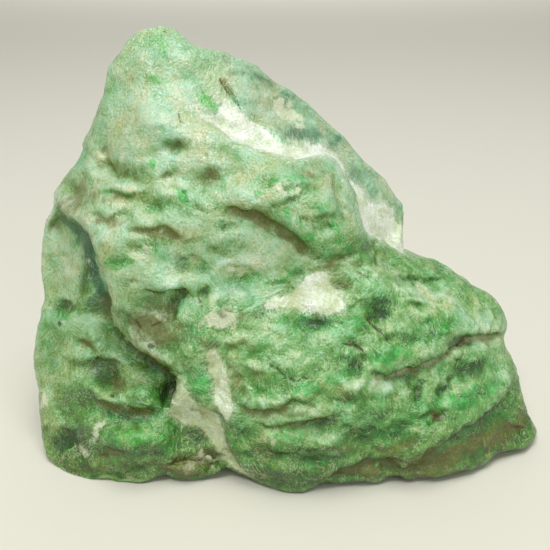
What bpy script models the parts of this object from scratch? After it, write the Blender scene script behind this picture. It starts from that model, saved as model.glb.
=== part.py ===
"""Raw jade boulder: one lump of jadeite, about 148 mm wide, 112 mm high and 96 mm deep.

Metres, +Z up, front facing -Y, origin under the middle of its box. The lump is a sphere drawn
out between two skins. Its front skin is laid out on the face plane: a sheet square to a sight
line that comes down on the boulder from the front, with u running right and w running up in
millimetres, and with depth counted behind the plane. The back skin and the underside are
broader and plainer, and the underside stands on four flat pads.
"""

import math
import random

import bmesh
import bpy
import numpy as np
from mathutils import Vector, noise

# --- Driving dimensions, in millimetres unless a name says otherwise ---

MILLIMETRE = 0.001
NAME = "jade_boulder"
SIGHT_POINT = (-3.0, -199.4, 130.6)
SIGHT_DOWN = math.radians(23.8)
FACE_DISTANCE = 200.0
FACE_CENTRE = (-4.0, -7.0)

# The boulder's outline on the face plane, clockwise from the peak.
OUTLINE = [
    (-31.5, 67.4), (-26.8, 66.5), (-23.3, 63.0), (-20.0, 61.0), (-14.5, 60.9), (-10.0, 58.8),
    (-5.0, 56.9), (-1.3, 52.6), (3.7, 50.5), (7.0, 47.4), (12.3, 43.5), (16.0, 39.5),
    (18.6, 37.5), (20.2, 35.0), (23.6, 31.0), (27.0, 28.3), (30.2, 25.0), (32.4, 20.6),
    (34.8, 18.0), (34.8, 15.0), (34.4, 13.0), (34.5, 7.0), (39.5, 5.0), (45.2, 3.2),
    (49.0, 0.5), (52.6, -2.4), (57.4, -4.7), (59.4, -6.4), (62.4, -10.8), (63.1, -14.0),
    (61.4, -16.5), (61.7, -18.5), (62.6, -21.0), (65.1, -25.1), (66.3, -31.4), (67.8, -36.5),
    (70.4, -42.2), (69.9, -44.0), (68.8, -46.0), (66.8, -47.1), (60.4, -48.1), (57.2, -50.8),
    (54.3, -52.3), (50.6, -53.3), (44.5, -55.0), (39.0, -54.8), (35.4, -55.7), (32.6, -54.2),
    (30.0, -55.2), (27.0, -56.4), (24.3, -55.7), (13.8, -56.2), (10.0, -57.4), (7.8, -58.7),
    (3.4, -58.8), (0.0, -57.7), (-3.4, -56.7), (-8.0, -54.2), (-12.5, -52.1), (-14.2, -52.1),
    (-16.2, -53.3), (-19.6, -55.2), (-23.0, -55.6), (-27.3, -55.0), (-29.5, -53.7),
    (-33.0, -55.5), (-36.8, -56.3), (-40.2, -55.7), (-44.5, -55.9), (-52.6, -54.8),
    (-58.4, -52.5), (-60.4, -50.8), (-61.8, -47.9), (-63.1, -40.5), (-63.6, -30.5),
    (-64.6, -28.3), (-65.1, -20.2), (-63.5, -12.1), (-62.4, -8.1), (-62.1, -4.7), (-63.3, 4.0),
    (-63.1, 6.7), (-62.3, 14.5), (-61.0, 16.0), (-58.4, 20.9), (-57.2, 25.5), (-54.0, 29.5),
    (-52.5, 31.4), (-51.3, 36.5), (-48.2, 43.0), (-46.4, 49.3), (-45.2, 54.7), (-43.0, 58.0),
    (-38.5, 65.0), (-37.0, 66.3), (-34.8, 67.1),
]

# Depth of the outline itself, by angle in degrees round FACE_CENTRE. FLOOR_EDGE means that
# the edge lies where the sight line comes down to EDGE_CLEARANCE above the floor.
FLOOR_EDGE = 40.0
EDGE_DEPTHS = [
    (-150, 8), (-140, FLOOR_EDGE), (-34, FLOOR_EDGE), (-26, 16), (-20, 17), (-8, 19), (0, 17),
    (15, 15), (27, 17), (43, 15), (60, 11), (79, 4), (95, -5), (111, -10), (120, -8), (127, -4),
    (137, 3), (148, 9), (158, 12), (170, 14), (180, 14), (192, 14), (202, 12), (210, 8),
]
EDGE_CLEARANCE = [
    (-152, 4.0), (-142, 0.6), (-128, 0.0), (-122, 0.4), (-117, 2.6), (-112, 0.8), (-106, 0.8),
    (-101, 4.2), (-97, 3.0), (-90, 0.3), (-76, 0.0), (-62, 0.6), (-52, 0.2), (-42, 0.3),
    (-34, 1.6), (-26, 3.0),
]

# How far behind the face plane the front skin lies, as points u, w, depth.
FACE_DEPTHS = [
    # the peak and the long upper left face
    (-34, 60, -12), (-44, 46, -9), (-30, 45, -15), (-19, 48, -12), (-46, 32, -10),
    (-30, 30, -17), (-15, 30, -17), (-36, 15, -16), (-20, 15, -17), (-48, 10, -11),
    (-35, 0, -15), (-20, 2, -15),
    # the facet set back behind the long white vein
    (-9, 50, -9), (0, 44, -4), (10, 38, 0), (19, 31, 3), (28, 21, 8), (32, 11, 10),
    # the proud block above the central fold
    (-4, 28, -17), (6, 26, -19), (14, 20, -18), (5, 14, -18), (21, 12, -13),
    # the middle
    (-5, 9, -16), (2, 2, -14), (16, 1, -13), (27, 4, -9), (12, -12, -15), (-8, -22, -16),
    (-24, -16, -14), (8, -26, -18), (22, -18, -15), (30, -12, -11),
    # the right lobe and the lit band under its ledge
    (36, -4, -8), (46, -8, -2), (57, -10, 7), (44, -16, -6), (55, -17, 2), (38, -30, -10),
    (50, -28, -3), (61, -28, 6), (53, -38, -3), (63, -41, 5), (42, -40, -9), (26, -36, -15),
    # the belly
    (8, -42, -17), (-4, -38, -15), (2, -53, -10), (20, -48, -12), (34, -51, -8), (50, -49, -6),
    # the left lobe and the foot of the boulder below it
    (-58, 8, 7), (-53, -6, 3), (-50, -18, 0), (-59, -28, 4), (-41, -25, -3), (-50, -38, -4),
    (-36, -44, -9), (-57, -46, 2), (-40, -52, -5), (-26, -38, -4), (-22, -48, -3),
]

# How far behind the face plane the back skin lies.
BACK_DEPTHS = [
    (-33, 55, 16), (-12, 50, 22), (-48, 30, 30), (-25, 30, 42), (2, 38, 32), (18, 26, 40),
    (-56, 2, 44), (-28, 2, 60), (4, 8, 62), (28, 4, 54), (50, -8, 44), (-50, -30, 52),
    (-18, -30, 74), (20, -30, 76), (52, -32, 54),
]

# How square the skins turn over at the outline, how far apart they stay just inside it, how
# much every mark on the front is deepened, and how fast the foot may fall away inwards.
FRONT_ROUNDING = 5.0
BACK_ROUNDING = 2.3
EDGE_GAP = 10.0
FRONT_STRENGTH = 1.4
UNDERCUT = 34.0

# The shares of the way in from the outline over which the relief of the front, that of the
# back, and the underside's own shape set in.
FRONT_BAND = 0.05
BACK_BAND = 0.30
UNDERSIDE_BAND = 0.12

# A ledge runs with its proud side on the left of its travel: the side that stands forward,
# then how far, then how far the other side falls back, and how far each fades out.
LEDGES = [
    # the deep groove between the main mass and the left lobe
    ([(-57, 23), (-56, 18), (-52.3, 13.8), (-49.6, 9.1), (-47.9, 2.7), (-45.2, -3.7),
      (-43.9, -9.8), (-42.2, -14.9), (-37.8, -19.6), (-32.4, -23.3), (-27, -26.7),
      (-27, -31.7), (-30, -37)], 3.0, 6.5, 8.0, 7.0),
    # the central fold, under the proud block
    ([(-15, 19.6), (-11, 18.2), (-5.4, 17.4), (-0.3, 14.5), (5.7, 10.5), (10.8, 5.4),
      (13, 3)], 1.9, 2.0, 8.0, 4.0),
    # the front lip along the long white vein
    ([(34.4, 6.6), (29.7, 9.1), (24.3, 12.1), (22.4, 17.9), (20.2, 25), (16.2, 31.4),
      (12.1, 32.7), (5.7, 31.2), (-2, 33.1), (-8.1, 35.8), (-13.8, 38.5), (-20.2, 42.2)],
     1.6, 3.4, 6.0, 7.0),
    # the edge where the proud block turns to its right side
    ([(19.5, 13), (18.9, 15.5), (16.9, 17.9), (16, 22.3), (15.2, 27.7)], 1.0, 2.0, 5.0, 5.0),
    # the long ledge across the right lobe
    ([(25, -25.5), (30, -27), (36, -25.3), (44, -21.8), (50, -17), (58, -15.8),
      (63, -14.5)], 1.8, 2.8, 6.0, 3.4),
    # the fold under the lit band at the lower right
    ([(32.5, -54.2), (38, -49.5), (46, -44), (53, -40), (57, -38), (60.5, -35), (62.5, -31),
      (65, -26)], 2.4, 1.4, 6.0, 6.0),
    ([(6, -57), (15, -54), (18, -52), (25, -50), (36, -49.5)], 0.8, 1.8, 5.0, 5.0),
    ([(61, -39.5), (66, -41), (69, -43.5)], 0.6, 1.6, 3.0, 3.0),
    # the arch at the foot, over a low knob
    ([(-31, -51), (-27.3, -50), (-24.6, -48.4), (-17, -48), (-12, -50)], 1.2, 4.0, 5.0, 5.0),
    # folds down the upper left face
    ([(-50, 21.5), (-44, 23), (-40, 21.5), (-36, 22), (-32, 24)], 0.8, 1.1, 4.0, 3.5),
    ([(-52, 16), (-48, 17), (-45, 15), (-42, 17), (-37, 17.5)], 0.7, 1.0, 3.5, 3.0),
    ([(-42, 13), (-33, 12), (-30, 13.5), (-27, 11.5), (-23, 10)], 0.8, 0.6, 4.0, 3.5),
    ([(-36, -3.5), (-30, -5.1), (-24.6, -3.5), (-20.5, -6.5)], 0.8, 1.4, 4.0, 3.0),
    # folds on the left lobe
    ([(-54, -16.5), (-50, -19), (-47, -22)], 0.9, 1.6, 3.5, 3.5),
    ([(-54, -28), (-48, -34), (-44, -35), (-39, -36.5), (-34, -36.5), (-29, -36)],
     1.0, 1.9, 5.0, 5.0),
    # folds on the belly
    ([(-22, -31), (-20.5, -35.5), (-14.5, -38), (-13.5, -44.5), (-9.5, -51.5), (-7, -55)],
     1.6, 2.6, 5.0, 4.5),
    ([(-11, -33.5), (-7, -36), (-3, -37), (2, -35.5), (5, -33.5), (11, -36)],
     0.9, 1.3, 4.0, 3.5),
    ([(-7, -39.5), (0, -41), (8, -40), (15, -39)], 0.8, 1.3, 3.5, 3.5),
    # the lip of the bowl
    ([(-4, -6), (-9.5, -9.8), (-14.2, -8.9), (-18, -6.5)], 0.7, 1.2, 3.0, 4.0),
]

# A groove: its run, its depth and half its width.
GROOVES = [
    ([(54, -23), (50, -27), (46, -31), (43, -34.5)], 1.3, 1.6),
    ([(36, -27.5), (38.5, -30), (38.5, -35)], 1.6, 1.6),
    ([(21.6, -21), (22, -28.5)], 1.6, 1.5),
    ([(17, -18.5), (21, -19), (23.5, -20), (23.5, -24.5)], 1.1, 1.3),
    ([(-29, -14), (-28, -9), (-23.5, -3.5)], 1.5, 1.6),
    ([(27, 11), (28, 6), (27.5, 1)], 2.2, 2.6),
    ([(34, -1.2), (40, -1.8), (46, -2)], 1.6, 1.5),
    ([(35, -8), (43, -8.6)], 1.2, 1.3),
    ([(-47.5, 35.5), (-45, 31), (-44, 28.5), (-40.5, 25)], 1.1, 1.4),
    ([(-17, -17), (-16.5, -25), (-14, -36)], 1.0, 2.0),
]

# The share of its depth that a groove keeps at its very ends.
GROOVE_END = 0.15

# Rounded hollows (depth above zero) and bumps (below zero): centre, half sizes, tilt, depth.
# Each falls off as exp(-HOLLOW_EDGE * r ** (2 * HOLLOW_FLATNESS)) from its centre.
HOLLOW_EDGE = 0.9
HOLLOW_FLATNESS = 1.3
HOLLOWS = [
    ((-40, 27), (5.5, 2.6), -20, 1.7), ((-18, 25.5), (5, 3.6), 0, 1.6),
    ((-33, 18), (4.5, 2.2), 0, 1.0), ((-31, 9.8), (5, 2.4), 0, 0.4),
    ((-41.5, 3), (3.4, 2.4), 0, 0.8), ((-23, 3), (5.2, 2.6), -15, 0.5),
    ((-10.5, -2.6), (6.4, 3.8), 5, 1.8), ((-19.2, -5.4), (2.4, 3.0), 0, 0.9),
    ((-46, -26), (5.6, 3.6), -25, 1.8), ((-56.4, -45.2), (4.4, 2.8), 0, 1.2),
    ((-58, -9), (3.6, 2.2), 0, 0.9), ((-4, -48.4), (4.4, 2.0), 0, 1.0),
    ((11, -40.4), (5, 2.3), 5, 0.9), ((10, -13.5), (6.2, 3.0), 0, 1.1),
    ((53, -26), (4.6, 2.8), 20, 1.0), ((13, 13), (3.2, 2.2), 0, 0.9),
    ((49.5, -18), (3, 1.8), 20, 1.0), ((4, 43), (5.4, 2.8), -20, 1.3),
    ((17.5, -3.3), (2.6, 2.2), 0, 1.1), ((-44, -48.8), (4.2, 2.0), 0, 1.2),
    ((28, -11), (3.4, 2.4), -30, 0.8), ((44, -38), (3.2, 2.2), 0, 0.9),
    ((-46, 28.5), (3.0, 2.2), 30, 1.1), ((-26.5, 34.5), (3.2, 1.8), 0, 1.2),
    ((-28, 26), (3.2, 2.2), 20, 1.1), ((-9, 26.5), (4.0, 2.6), 0, 1.0),
    ((-37.5, 6.5), (4.2, 1.8), -10, 1.1), ((-14, 5.5), (3.6, 1.8), -20, 1.0),
    ((-33, -8.5), (3.4, 2.4), -20, 1.1), ((-36, -14), (3.4, 2.0), -10, 1.2),
    ((-28, -20), (3.6, 2.0), 20, 1.0), ((-8, -28.5), (4.2, 2.2), -10, 1.0),
    ((4, -30.5), (4.4, 1.8), 5, 1.2), ((18, -33.5), (4.4, 2.0), -5, 1.1),
    ((24, -44), (5.0, 2.0), 10, 1.1), ((-8, -43), (3.0, 2.4), 0, 1.0),
    ((9, -50.5), (4.6, 1.6), 8, 1.0), ((33, -42.5), (4.2, 2.0), 25, 1.1),
    ((41, -14.5), (3.6, 2.2), -25, 1.0), ((35, -18), (3.2, 2.0), 0, 1.0),
    ((50, -7), (4.6, 1.6), -30, 0.9), ((-52.5, -25), (3.0, 2.4), 0, 1.2),
    ((-57, -36), (3.4, 2.6), 0, 1.2), ((-41, -40.5), (4.4, 1.8), 0, 1.2),
    ((-51, -48.5), (3.6, 2.0), 0, 1.1), ((-57, 12), (2.6, 3.4), 0, 0.9),
    ((-36, -29), (8, 5.4), -15, -2.2), ((-37, -45), (9, 5.4), 0, -2.2),
    ((-1, -45), (6, 3.0), 0, -1.4), ((3, -52.4), (6, 2.6), 0, -1.2),
    ((14, -46), (5, 2.6), 0, -1.2), ((-19, -31), (3.2, 4.6), 0, -1.6),
    ((-24, -52.4), (6.5, 3.0), 0, -2.6), ((-54, -14), (5, 4.0), 0, -1.2),
    ((30, -19), (8, 4.5), 0, -1.4), ((-14, 12), (7, 4.5), -20, -1.2),
    ((-34, 40), (6, 6.0), 0, -1.2), ((-22, -22), (6, 4.5), 0, -1.2),
]

# Broad shapes of the back skin, as seen through the boulder from the front, and how soft the
# lips of its ledges are and how far from their ends they fade.
BACK_LIP = 1.2
BACK_TAPER = 14.0
BACK_LEDGES = [
    ([(60, -20), (38, -12), (22, 4), (6, 10), (-12, 26), (-20, 44)], 2.2, 4.0, 12.0, 12.0),
    ([(-58, -20), (-40, -8), (-26, 4), (-30, 20), (-44, 32)], 1.8, 3.6, 10.0, 10.0),
    ([(48, -34), (24, -22), (0, -18), (-22, -26), (-44, -30)], 2.0, 3.6, 9.0, 9.0),
]
BACK_HOLLOWS = [
    ((14, -4), (12, 8), 30, 4.0), ((-40, -12), (9, 7), -20, 3.2), ((-14, 8), (8, 6), 0, 2.6),
    ((36, -24), (9, 6), 15, 3.0), ((-8, 36), (7, 6), -40, 2.4), ((-2, -14), (8, 5), 0, -2.6),
    ((-38, 16), (7, 9), 0, -2.4),
]

# Thumb-sized dimples scattered over the back: where, how wide, how high for their width,
# how far they tilt in degrees, and how deep for their width. Widths and heights are halves.
BACK_DIMPLES = 70
DIMPLE_SEED = 7
DIMPLE_U = (-62, 66)
DIMPLE_W = (-50, 62)
DIMPLE_WIDTHS = (3.5, 8.0)
DIMPLE_HEIGHTS = (0.45, 0.8)
DIMPLE_TILTS = (-40, 40)
DIMPLE_DEPTH = 0.34

# Natural unevenness: size of the lumps, then how far they stand out in front and behind. The
# shift sets each size's noise apart from the next one's.
LUMPS = [(26.0, 0.6, 6.0), (11.0, 1.2, 2.8), (5.5, 0.9, 1.2)]
LUMP_SHIFT = (17.0, 5.0, 31.0)

# The underside: its hollowness in the mean and how far that swings, the size of its lumps,
# and the pads x, y, radius that it stands on.
UNDERSIDE_MEAN = 2.25
UNDERSIDE_SWING = 2.7
UNDERSIDE_LUMP = 16.0
PADS = [(3.0, -34.0, 8.0), (-45.0, -24.0, 8.0), (50.0, -8.0, 8.0), (-6.0, 22.0, 9.0)]
PAD_FADE = 10.0
PAD_EDGE = 0.02
REST_BAND = 0.15

# How wide and how low the back skin is eased into the underside, in millimetres.
FOOT_EASE = 3.0
FOOT_SINK = 0.6

# The mesh: how finely the sphere is cut, how many faces are kept, how far past the outline
# the front is taken to reach, and the bias that keeps more of the faces on it, where
# BACK_SHARE of a collapse's weight is taken off.
SPHERE_STEPS = 7
TRIANGLES = 8000
FRONT_REACH = 0.05
BACK_SHARE = 0.5
FRONT_CARE = 0.001

JADE_COLOUR = (0.235, 0.445, 0.235, 1.0)
JADE_ROUGHNESS = 0.35


# --- Curves and fields on the face plane ---


def smooth_step(value):
    """0 below 0, 1 above 1, and an even rise between."""
    value = np.clip(value, 0.0, 1.0)
    return value * value * (3.0 - 2.0 * value)


def thin_plate(points):
    """The smooth sheet, like a bent thin plate, through points of u, w and height."""
    points = np.array(points, float)
    at, height = points[:, :2], points[:, 2]

    def bend(u, w):
        square = (u[:, None] - at[:, 0]) ** 2 + (w[:, None] - at[:, 1]) ** 2
        return 0.5 * square * np.log(square + 1e-9)

    def plane(u, w):
        return np.stack([np.ones_like(u), u, w], axis=1)

    own_bend, own_plane = bend(at[:, 0], at[:, 1]), plane(at[:, 0], at[:, 1])
    system = np.block([[own_bend, own_plane], [own_plane.T, np.zeros((3, 3))]])
    weights = np.linalg.solve(system, np.append(height, np.zeros(3)))

    def sheet(u, w):
        return bend(u, w) @ weights[:-3] + plane(u, w) @ weights[-3:]

    return sheet


def by_angle(pairs, degrees):
    """A value read from pairs of angle and value, going round the full circle."""
    angles, values = zip(*pairs)
    return np.interp(degrees, angles, values, period=360)


def outline_radius(degrees):
    """Distance from FACE_CENTRE to the outline at an angle."""
    spokes = np.array(OUTLINE) - FACE_CENTRE
    angles = np.degrees(np.arctan2(spokes[:, 1], spokes[:, 0]))
    return np.interp(degrees, angles, np.hypot(spokes[:, 0], spokes[:, 1]), period=360)


def along_run(run, u, w):
    """Signed distance to a run of points, above zero on the left of its travel, and how far
    along the run the nearest place is, in millimetres from its nearer end."""
    run = np.array(run, float)
    lengths = np.hypot(*np.diff(run, axis=0).T)
    starts = np.append(0.0, np.cumsum(lengths))
    nearest = np.full(u.shape, np.inf)
    signed = np.zeros(u.shape)
    place = np.zeros(u.shape)
    for (a, b), (c, d), length, start in zip(run[:-1], run[1:], lengths, starts):
        east, north = (c - a) / length, (d - b) / length
        travel = np.clip((u - a) * east + (w - b) * north, 0.0, length)
        off_u, off_w = u - a - travel * east, w - b - travel * north
        far = np.hypot(off_u, off_w)
        closer = far < nearest
        nearest = np.where(closer, far, nearest)
        side = np.where((w - b) * east - (u - a) * north >= 0.0, 1.0, -1.0)
        signed = np.where(closer, far * side, signed)
        place = np.where(closer, start + travel, place)
    return signed, np.minimum(place, starts[-1] - place)


def ledge(run, proud, drop, proud_fade, drop_fade, u, w, lip=0.9, taper=6.0):
    """Depth change of a ledge: one side forward, the other side back."""
    signed, from_end = along_run(run, u, w)
    upper = 0.5 + 0.5 * np.tanh(signed / lip)
    forward = proud * np.exp(-np.maximum(signed, 0.0) / proud_fade)
    back = drop * np.exp(np.minimum(signed, 0.0) / drop_fade)
    return ((1.0 - upper) * back - upper * forward) * smooth_step(from_end / taper)


def groove(run, deep, half_width, u, w, taper=3.0):
    """Depth change of a groove with a rounded bed."""
    signed, from_end = along_run(run, u, w)
    return deep * np.exp(-((signed / half_width) ** 2)) * smooth_step(GROOVE_END + from_end / taper)


def hollow(centre, half_sizes, tilt, deep, u, w):
    """Depth change of a rounded hollow, or of a bump where it is below zero."""
    turn = math.radians(tilt)
    east, north = u - centre[0], w - centre[1]
    across = (east * math.cos(turn) + north * math.sin(turn)) / half_sizes[0]
    upward = (north * math.cos(turn) - east * math.sin(turn)) / half_sizes[1]
    return deep * np.exp(-HOLLOW_EDGE * (across**2 + upward**2) ** HOLLOW_FLATNESS)


def lumps(points, level):
    """Even noise over points in millimetres, for the front (level 1) or the back (level 2)."""
    total = np.zeros(len(points))
    for number, size in enumerate(LUMPS):
        shift = Vector((number * LUMP_SHIFT[0], *LUMP_SHIFT[1:]))
        seen = [noise.noise(Vector(point) / size[0] + shift) for point in points]
        total += size[level] * np.array(seen)
    return total


# --- From the face plane to the boulder ---


def face_axes():
    """The sight line and the face plane's upward direction."""
    sine, cosine = math.sin(SIGHT_DOWN), math.cos(SIGHT_DOWN)
    return np.array([0.0, cosine, -sine]), np.array([0.0, sine, cosine])


def on_boulder(u, w, depth):
    """The place in space of a point of the face plane, pushed back along its sight line."""
    sight, upward = face_axes()
    ray = FACE_DISTANCE * sight + np.outer(w, upward)
    ray[:, 0] += u
    return np.array(SIGHT_POINT) + ray * (1.0 + depth / FACE_DISTANCE)[:, None]


def floor_depth(w, clearance):
    """The depth at which a sight line through height w comes down to this clearance."""
    sight, upward = face_axes()
    fall = -(FACE_DISTANCE * sight[2] + w * upward[2])
    return FACE_DISTANCE * ((SIGHT_POINT[2] - clearance) / fall - 1.0)


def front_relief(u, w):
    total = np.zeros(u.shape)
    for run, *sizes in LEDGES:
        total += ledge(run, *sizes, u, w)
    for run, deep, half_width in GROOVES:
        total += groove(run, deep, half_width, u, w)
    for spot in HOLLOWS:
        total += hollow(*spot, u, w)
    return total * FRONT_STRENGTH


def back_relief(u, w):
    total = np.zeros(u.shape)
    for run, *sizes in BACK_LEDGES:
        total -= ledge(run, *sizes, u, w, lip=BACK_LIP, taper=BACK_TAPER)
    for spot in BACK_HOLLOWS:
        total -= hollow(*spot, u, w)
    chance = random.Random(DIMPLE_SEED)
    for _ in range(BACK_DIMPLES):
        centre = (chance.uniform(*DIMPLE_U), chance.uniform(*DIMPLE_W))
        wide = chance.uniform(*DIMPLE_WIDTHS)
        sizes = (wide, wide * chance.uniform(*DIMPLE_HEIGHTS))
        total -= hollow(centre, sizes, chance.uniform(*DIMPLE_TILTS), DIMPLE_DEPTH * wide, u, w)
    return total


def underside(places, inward):
    """Height of the underside: zero on the pads, a little hollow between them."""
    uneven = [noise.noise(Vector((x, y, 0.0)) / UNDERSIDE_LUMP) for x, y, _ in places]
    height = UNDERSIDE_MEAN + UNDERSIDE_SWING * np.array(uneven)
    for x, y, radius in PADS:
        away = np.hypot(places[:, 0] - x, places[:, 1] - y)
        height = height * smooth_step((away - radius) / PAD_FADE)
    return np.maximum(height, 0.0) * inward


def shape_boulder(directions):
    """Points of the boulder, in millimetres, for the directions of a sphere's points."""
    right, away, up = directions.T
    reach = np.minimum(np.hypot(right, up), 1.0)
    degrees = np.degrees(np.arctan2(up, right))
    radius = outline_radius(degrees) * reach
    u = FACE_CENTRE[0] + radius * np.cos(np.radians(degrees))
    w = FACE_CENTRE[1] + radius * np.sin(np.radians(degrees))
    edge_u = FACE_CENTRE[0] + outline_radius(degrees) * np.cos(np.radians(degrees))
    edge_w = FACE_CENTRE[1] + outline_radius(degrees) * np.sin(np.radians(degrees))
    on_floor = floor_depth(edge_w, by_angle(EDGE_CLEARANCE, degrees))
    edge = np.minimum(by_angle(EDGE_DEPTHS, degrees), on_floor)

    inward = smooth_step((1.0 - reach) / FRONT_BAND)
    far_in = smooth_step((1.0 - reach) / BACK_BAND)
    face, back = thin_plate(FACE_DEPTHS), thin_plate(BACK_DEPTHS)
    turn = 1.0 - (1.0 - reach**FRONT_ROUNDING) ** (1.0 / FRONT_ROUNDING)
    front_depth = face(u, w) + (edge - face(edge_u, edge_w)) * turn
    front_depth += front_relief(u, w) * inward
    bulge = (1.0 - reach**BACK_ROUNDING) ** (1.0 / BACK_ROUNDING)
    back_depth = edge + (back(u, w) - edge) * bulge + back_relief(u, w) * far_in

    in_front = away < 0.0
    plain = on_boulder(u, w, np.where(in_front, front_depth, back_depth))
    uneven = np.where(in_front, lumps(plain, 1) * inward, lumps(plain, 2) * far_in)
    front_depth = np.minimum(front_depth + uneven, floor_depth(w, UNDERCUT * (1.0 - reach)))
    front_depth = np.minimum(front_depth, back_depth - EDGE_GAP * (1.0 - reach) ** 0.5)
    points = on_boulder(u, w, np.where(in_front, front_depth, back_depth + uneven))
    rest = underside(points, smooth_step((1.0 - reach) / UNDERSIDE_BAND) * ~in_front)
    lift = np.maximum(points[:, 2], rest)
    above = points[:, 2] - rest
    eased = rest + 0.5 * (above + np.sqrt(above**2 + FOOT_EASE**2)) - FOOT_SINK
    on_pad = rest < PAD_EDGE
    points[:, 2] = np.where(in_front | on_pad, lift, np.maximum(eased, lift))
    return points


# --- The object ---


def jade():
    material = bpy.data.materials.new("jadeite")
    material.use_nodes = True
    shader = material.node_tree.nodes["Principled BSDF"]
    shader.inputs["Base Color"].default_value = JADE_COLOUR
    shader.inputs["Roughness"].default_value = JADE_ROUGHNESS
    shader.inputs["Metallic"].default_value = 0.0
    return material


def sphere_mesh():
    mesh = bpy.data.meshes.new(NAME)
    ball = bmesh.new()
    bmesh.ops.create_icosphere(ball, subdivisions=SPHERE_STEPS, radius=1.0)
    ball.to_mesh(mesh)
    ball.free()
    return mesh


def thin_out(boulder, directions):
    """Collapses the faces to TRIANGLES, keeping more of them on the front skin."""
    group = boulder.vertex_groups.new(name="plainness")
    in_front = directions[:, 1] < FRONT_REACH
    everywhere = range(len(directions))
    group.add([n for n in everywhere if not in_front[n]], 1.0, "REPLACE")
    group.add([n for n in everywhere if in_front[n]], 1.0 - BACK_SHARE, "REPLACE")
    fewer = boulder.modifiers.new("fewer faces", "DECIMATE")
    fewer.ratio = TRIANGLES / len(boulder.data.polygons)
    fewer.vertex_group = group.name
    fewer.vertex_group_factor = FRONT_CARE
    fewer.use_collapse_triangulate = True
    graph = bpy.context.evaluated_depsgraph_get()
    thinned = bpy.data.meshes.new_from_object(boulder.evaluated_get(graph))
    boulder.modifiers.remove(fewer)
    boulder.vertex_groups.clear()
    boulder.data = thinned


def rest_flat(mesh):
    """Puts every point that all but touches the floor exactly on it."""
    for point in mesh.vertices:
        if point.co.z < REST_BAND * MILLIMETRE:
            point.co.z = 0.0


def build():
    for old in list(bpy.data.objects):
        bpy.data.objects.remove(old)
    mesh = sphere_mesh()
    directions = np.empty(len(mesh.vertices) * 3)
    mesh.vertices.foreach_get("co", directions)
    directions = directions.reshape(-1, 3)
    points = shape_boulder(directions)
    mesh.vertices.foreach_set("co", (points * MILLIMETRE).ravel())
    mesh.update()

    boulder = bpy.data.objects.new(NAME, mesh)
    collection = bpy.data.collections.new("raw_jade_boulder")
    bpy.context.scene.collection.children.link(collection)
    collection.objects.link(boulder)
    thin_out(boulder, directions)
    rest_flat(boulder.data)
    boulder.data.name = NAME
    boulder.data.materials.clear()
    boulder.data.materials.append(jade())
    boulder.data.shade_smooth()


build()
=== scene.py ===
"""Raw jade boulder: the looks of one lump of jadeite, on a pale floor in soft light."""

import math

import bmesh
import bpy
import numpy as np
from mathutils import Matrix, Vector, noise


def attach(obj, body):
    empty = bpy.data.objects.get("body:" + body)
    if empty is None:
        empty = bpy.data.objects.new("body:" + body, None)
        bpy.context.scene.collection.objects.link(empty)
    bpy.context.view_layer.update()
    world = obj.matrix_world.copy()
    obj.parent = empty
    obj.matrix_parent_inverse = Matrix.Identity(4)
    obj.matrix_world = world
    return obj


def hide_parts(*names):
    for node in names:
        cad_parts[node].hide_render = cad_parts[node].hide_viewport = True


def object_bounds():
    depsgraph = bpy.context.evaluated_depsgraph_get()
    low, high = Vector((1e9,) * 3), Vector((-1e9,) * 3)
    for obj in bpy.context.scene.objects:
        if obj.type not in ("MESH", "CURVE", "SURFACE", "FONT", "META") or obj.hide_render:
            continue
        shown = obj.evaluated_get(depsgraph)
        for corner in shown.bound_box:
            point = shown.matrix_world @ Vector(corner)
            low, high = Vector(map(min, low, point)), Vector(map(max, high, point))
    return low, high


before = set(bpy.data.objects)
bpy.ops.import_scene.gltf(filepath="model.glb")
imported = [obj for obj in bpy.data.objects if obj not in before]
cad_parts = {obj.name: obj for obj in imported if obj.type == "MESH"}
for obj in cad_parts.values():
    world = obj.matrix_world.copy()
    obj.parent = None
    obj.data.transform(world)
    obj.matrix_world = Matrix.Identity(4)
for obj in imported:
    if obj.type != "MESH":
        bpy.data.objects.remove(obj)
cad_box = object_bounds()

# --- The boulder ---
# A river-worn lump of jadeite rock, all one piece: broken from a larger boulder, tumbled until
# its edges went round, and weathered into folds and pits. It stands loose on its underside.

# Its body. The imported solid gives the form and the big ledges. It is taken here as a finer
# mesh, so that the small folds, pits and cracks of the skin can be worked into it.

MILLIMETRE = 0.001
WELD = 1e-5
FINER_STEPS = 2

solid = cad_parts["jade_boulder"]
skin = bmesh.new()
skin.from_mesh(solid.data)
bmesh.ops.remove_doubles(skin, verts=skin.verts, dist=WELD)
coarse_mesh = bpy.data.meshes.new("boulder_coarse")
skin.to_mesh(coarse_mesh)
skin.free()
coarse = bpy.data.objects.new("boulder_coarse", coarse_mesh)
bpy.context.scene.collection.objects.link(coarse)
finer = coarse.modifiers.new("finer", "SUBSURF")
finer.levels = finer.render_levels = FINER_STEPS
bpy.context.view_layer.update()
boulder_mesh = bpy.data.meshes.new_from_object(
    coarse.evaluated_get(bpy.context.evaluated_depsgraph_get())
)
bpy.data.objects.remove(coarse)
boulder = bpy.data.objects.new("jadeite_boulder", boulder_mesh)
bpy.context.scene.collection.objects.link(boulder)

count = len(boulder_mesh.vertices)
edges = np.empty(2 * len(boulder_mesh.edges), np.int32)
boulder_mesh.edges.foreach_get("vertices", edges)
edges = edges.reshape(-1, 2)
ends = np.concatenate([edges[:, 0], edges[:, 1]])
others = np.concatenate([edges[:, 1], edges[:, 0]])
neighbours = np.bincount(ends, minlength=count)


def points_of(mesh):
    """The mesh's points, in millimetres."""
    flat = np.empty(3 * count, np.float32)
    mesh.vertices.foreach_get("co", flat)
    return flat.reshape(-1, 3).astype(float) / MILLIMETRE


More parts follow.
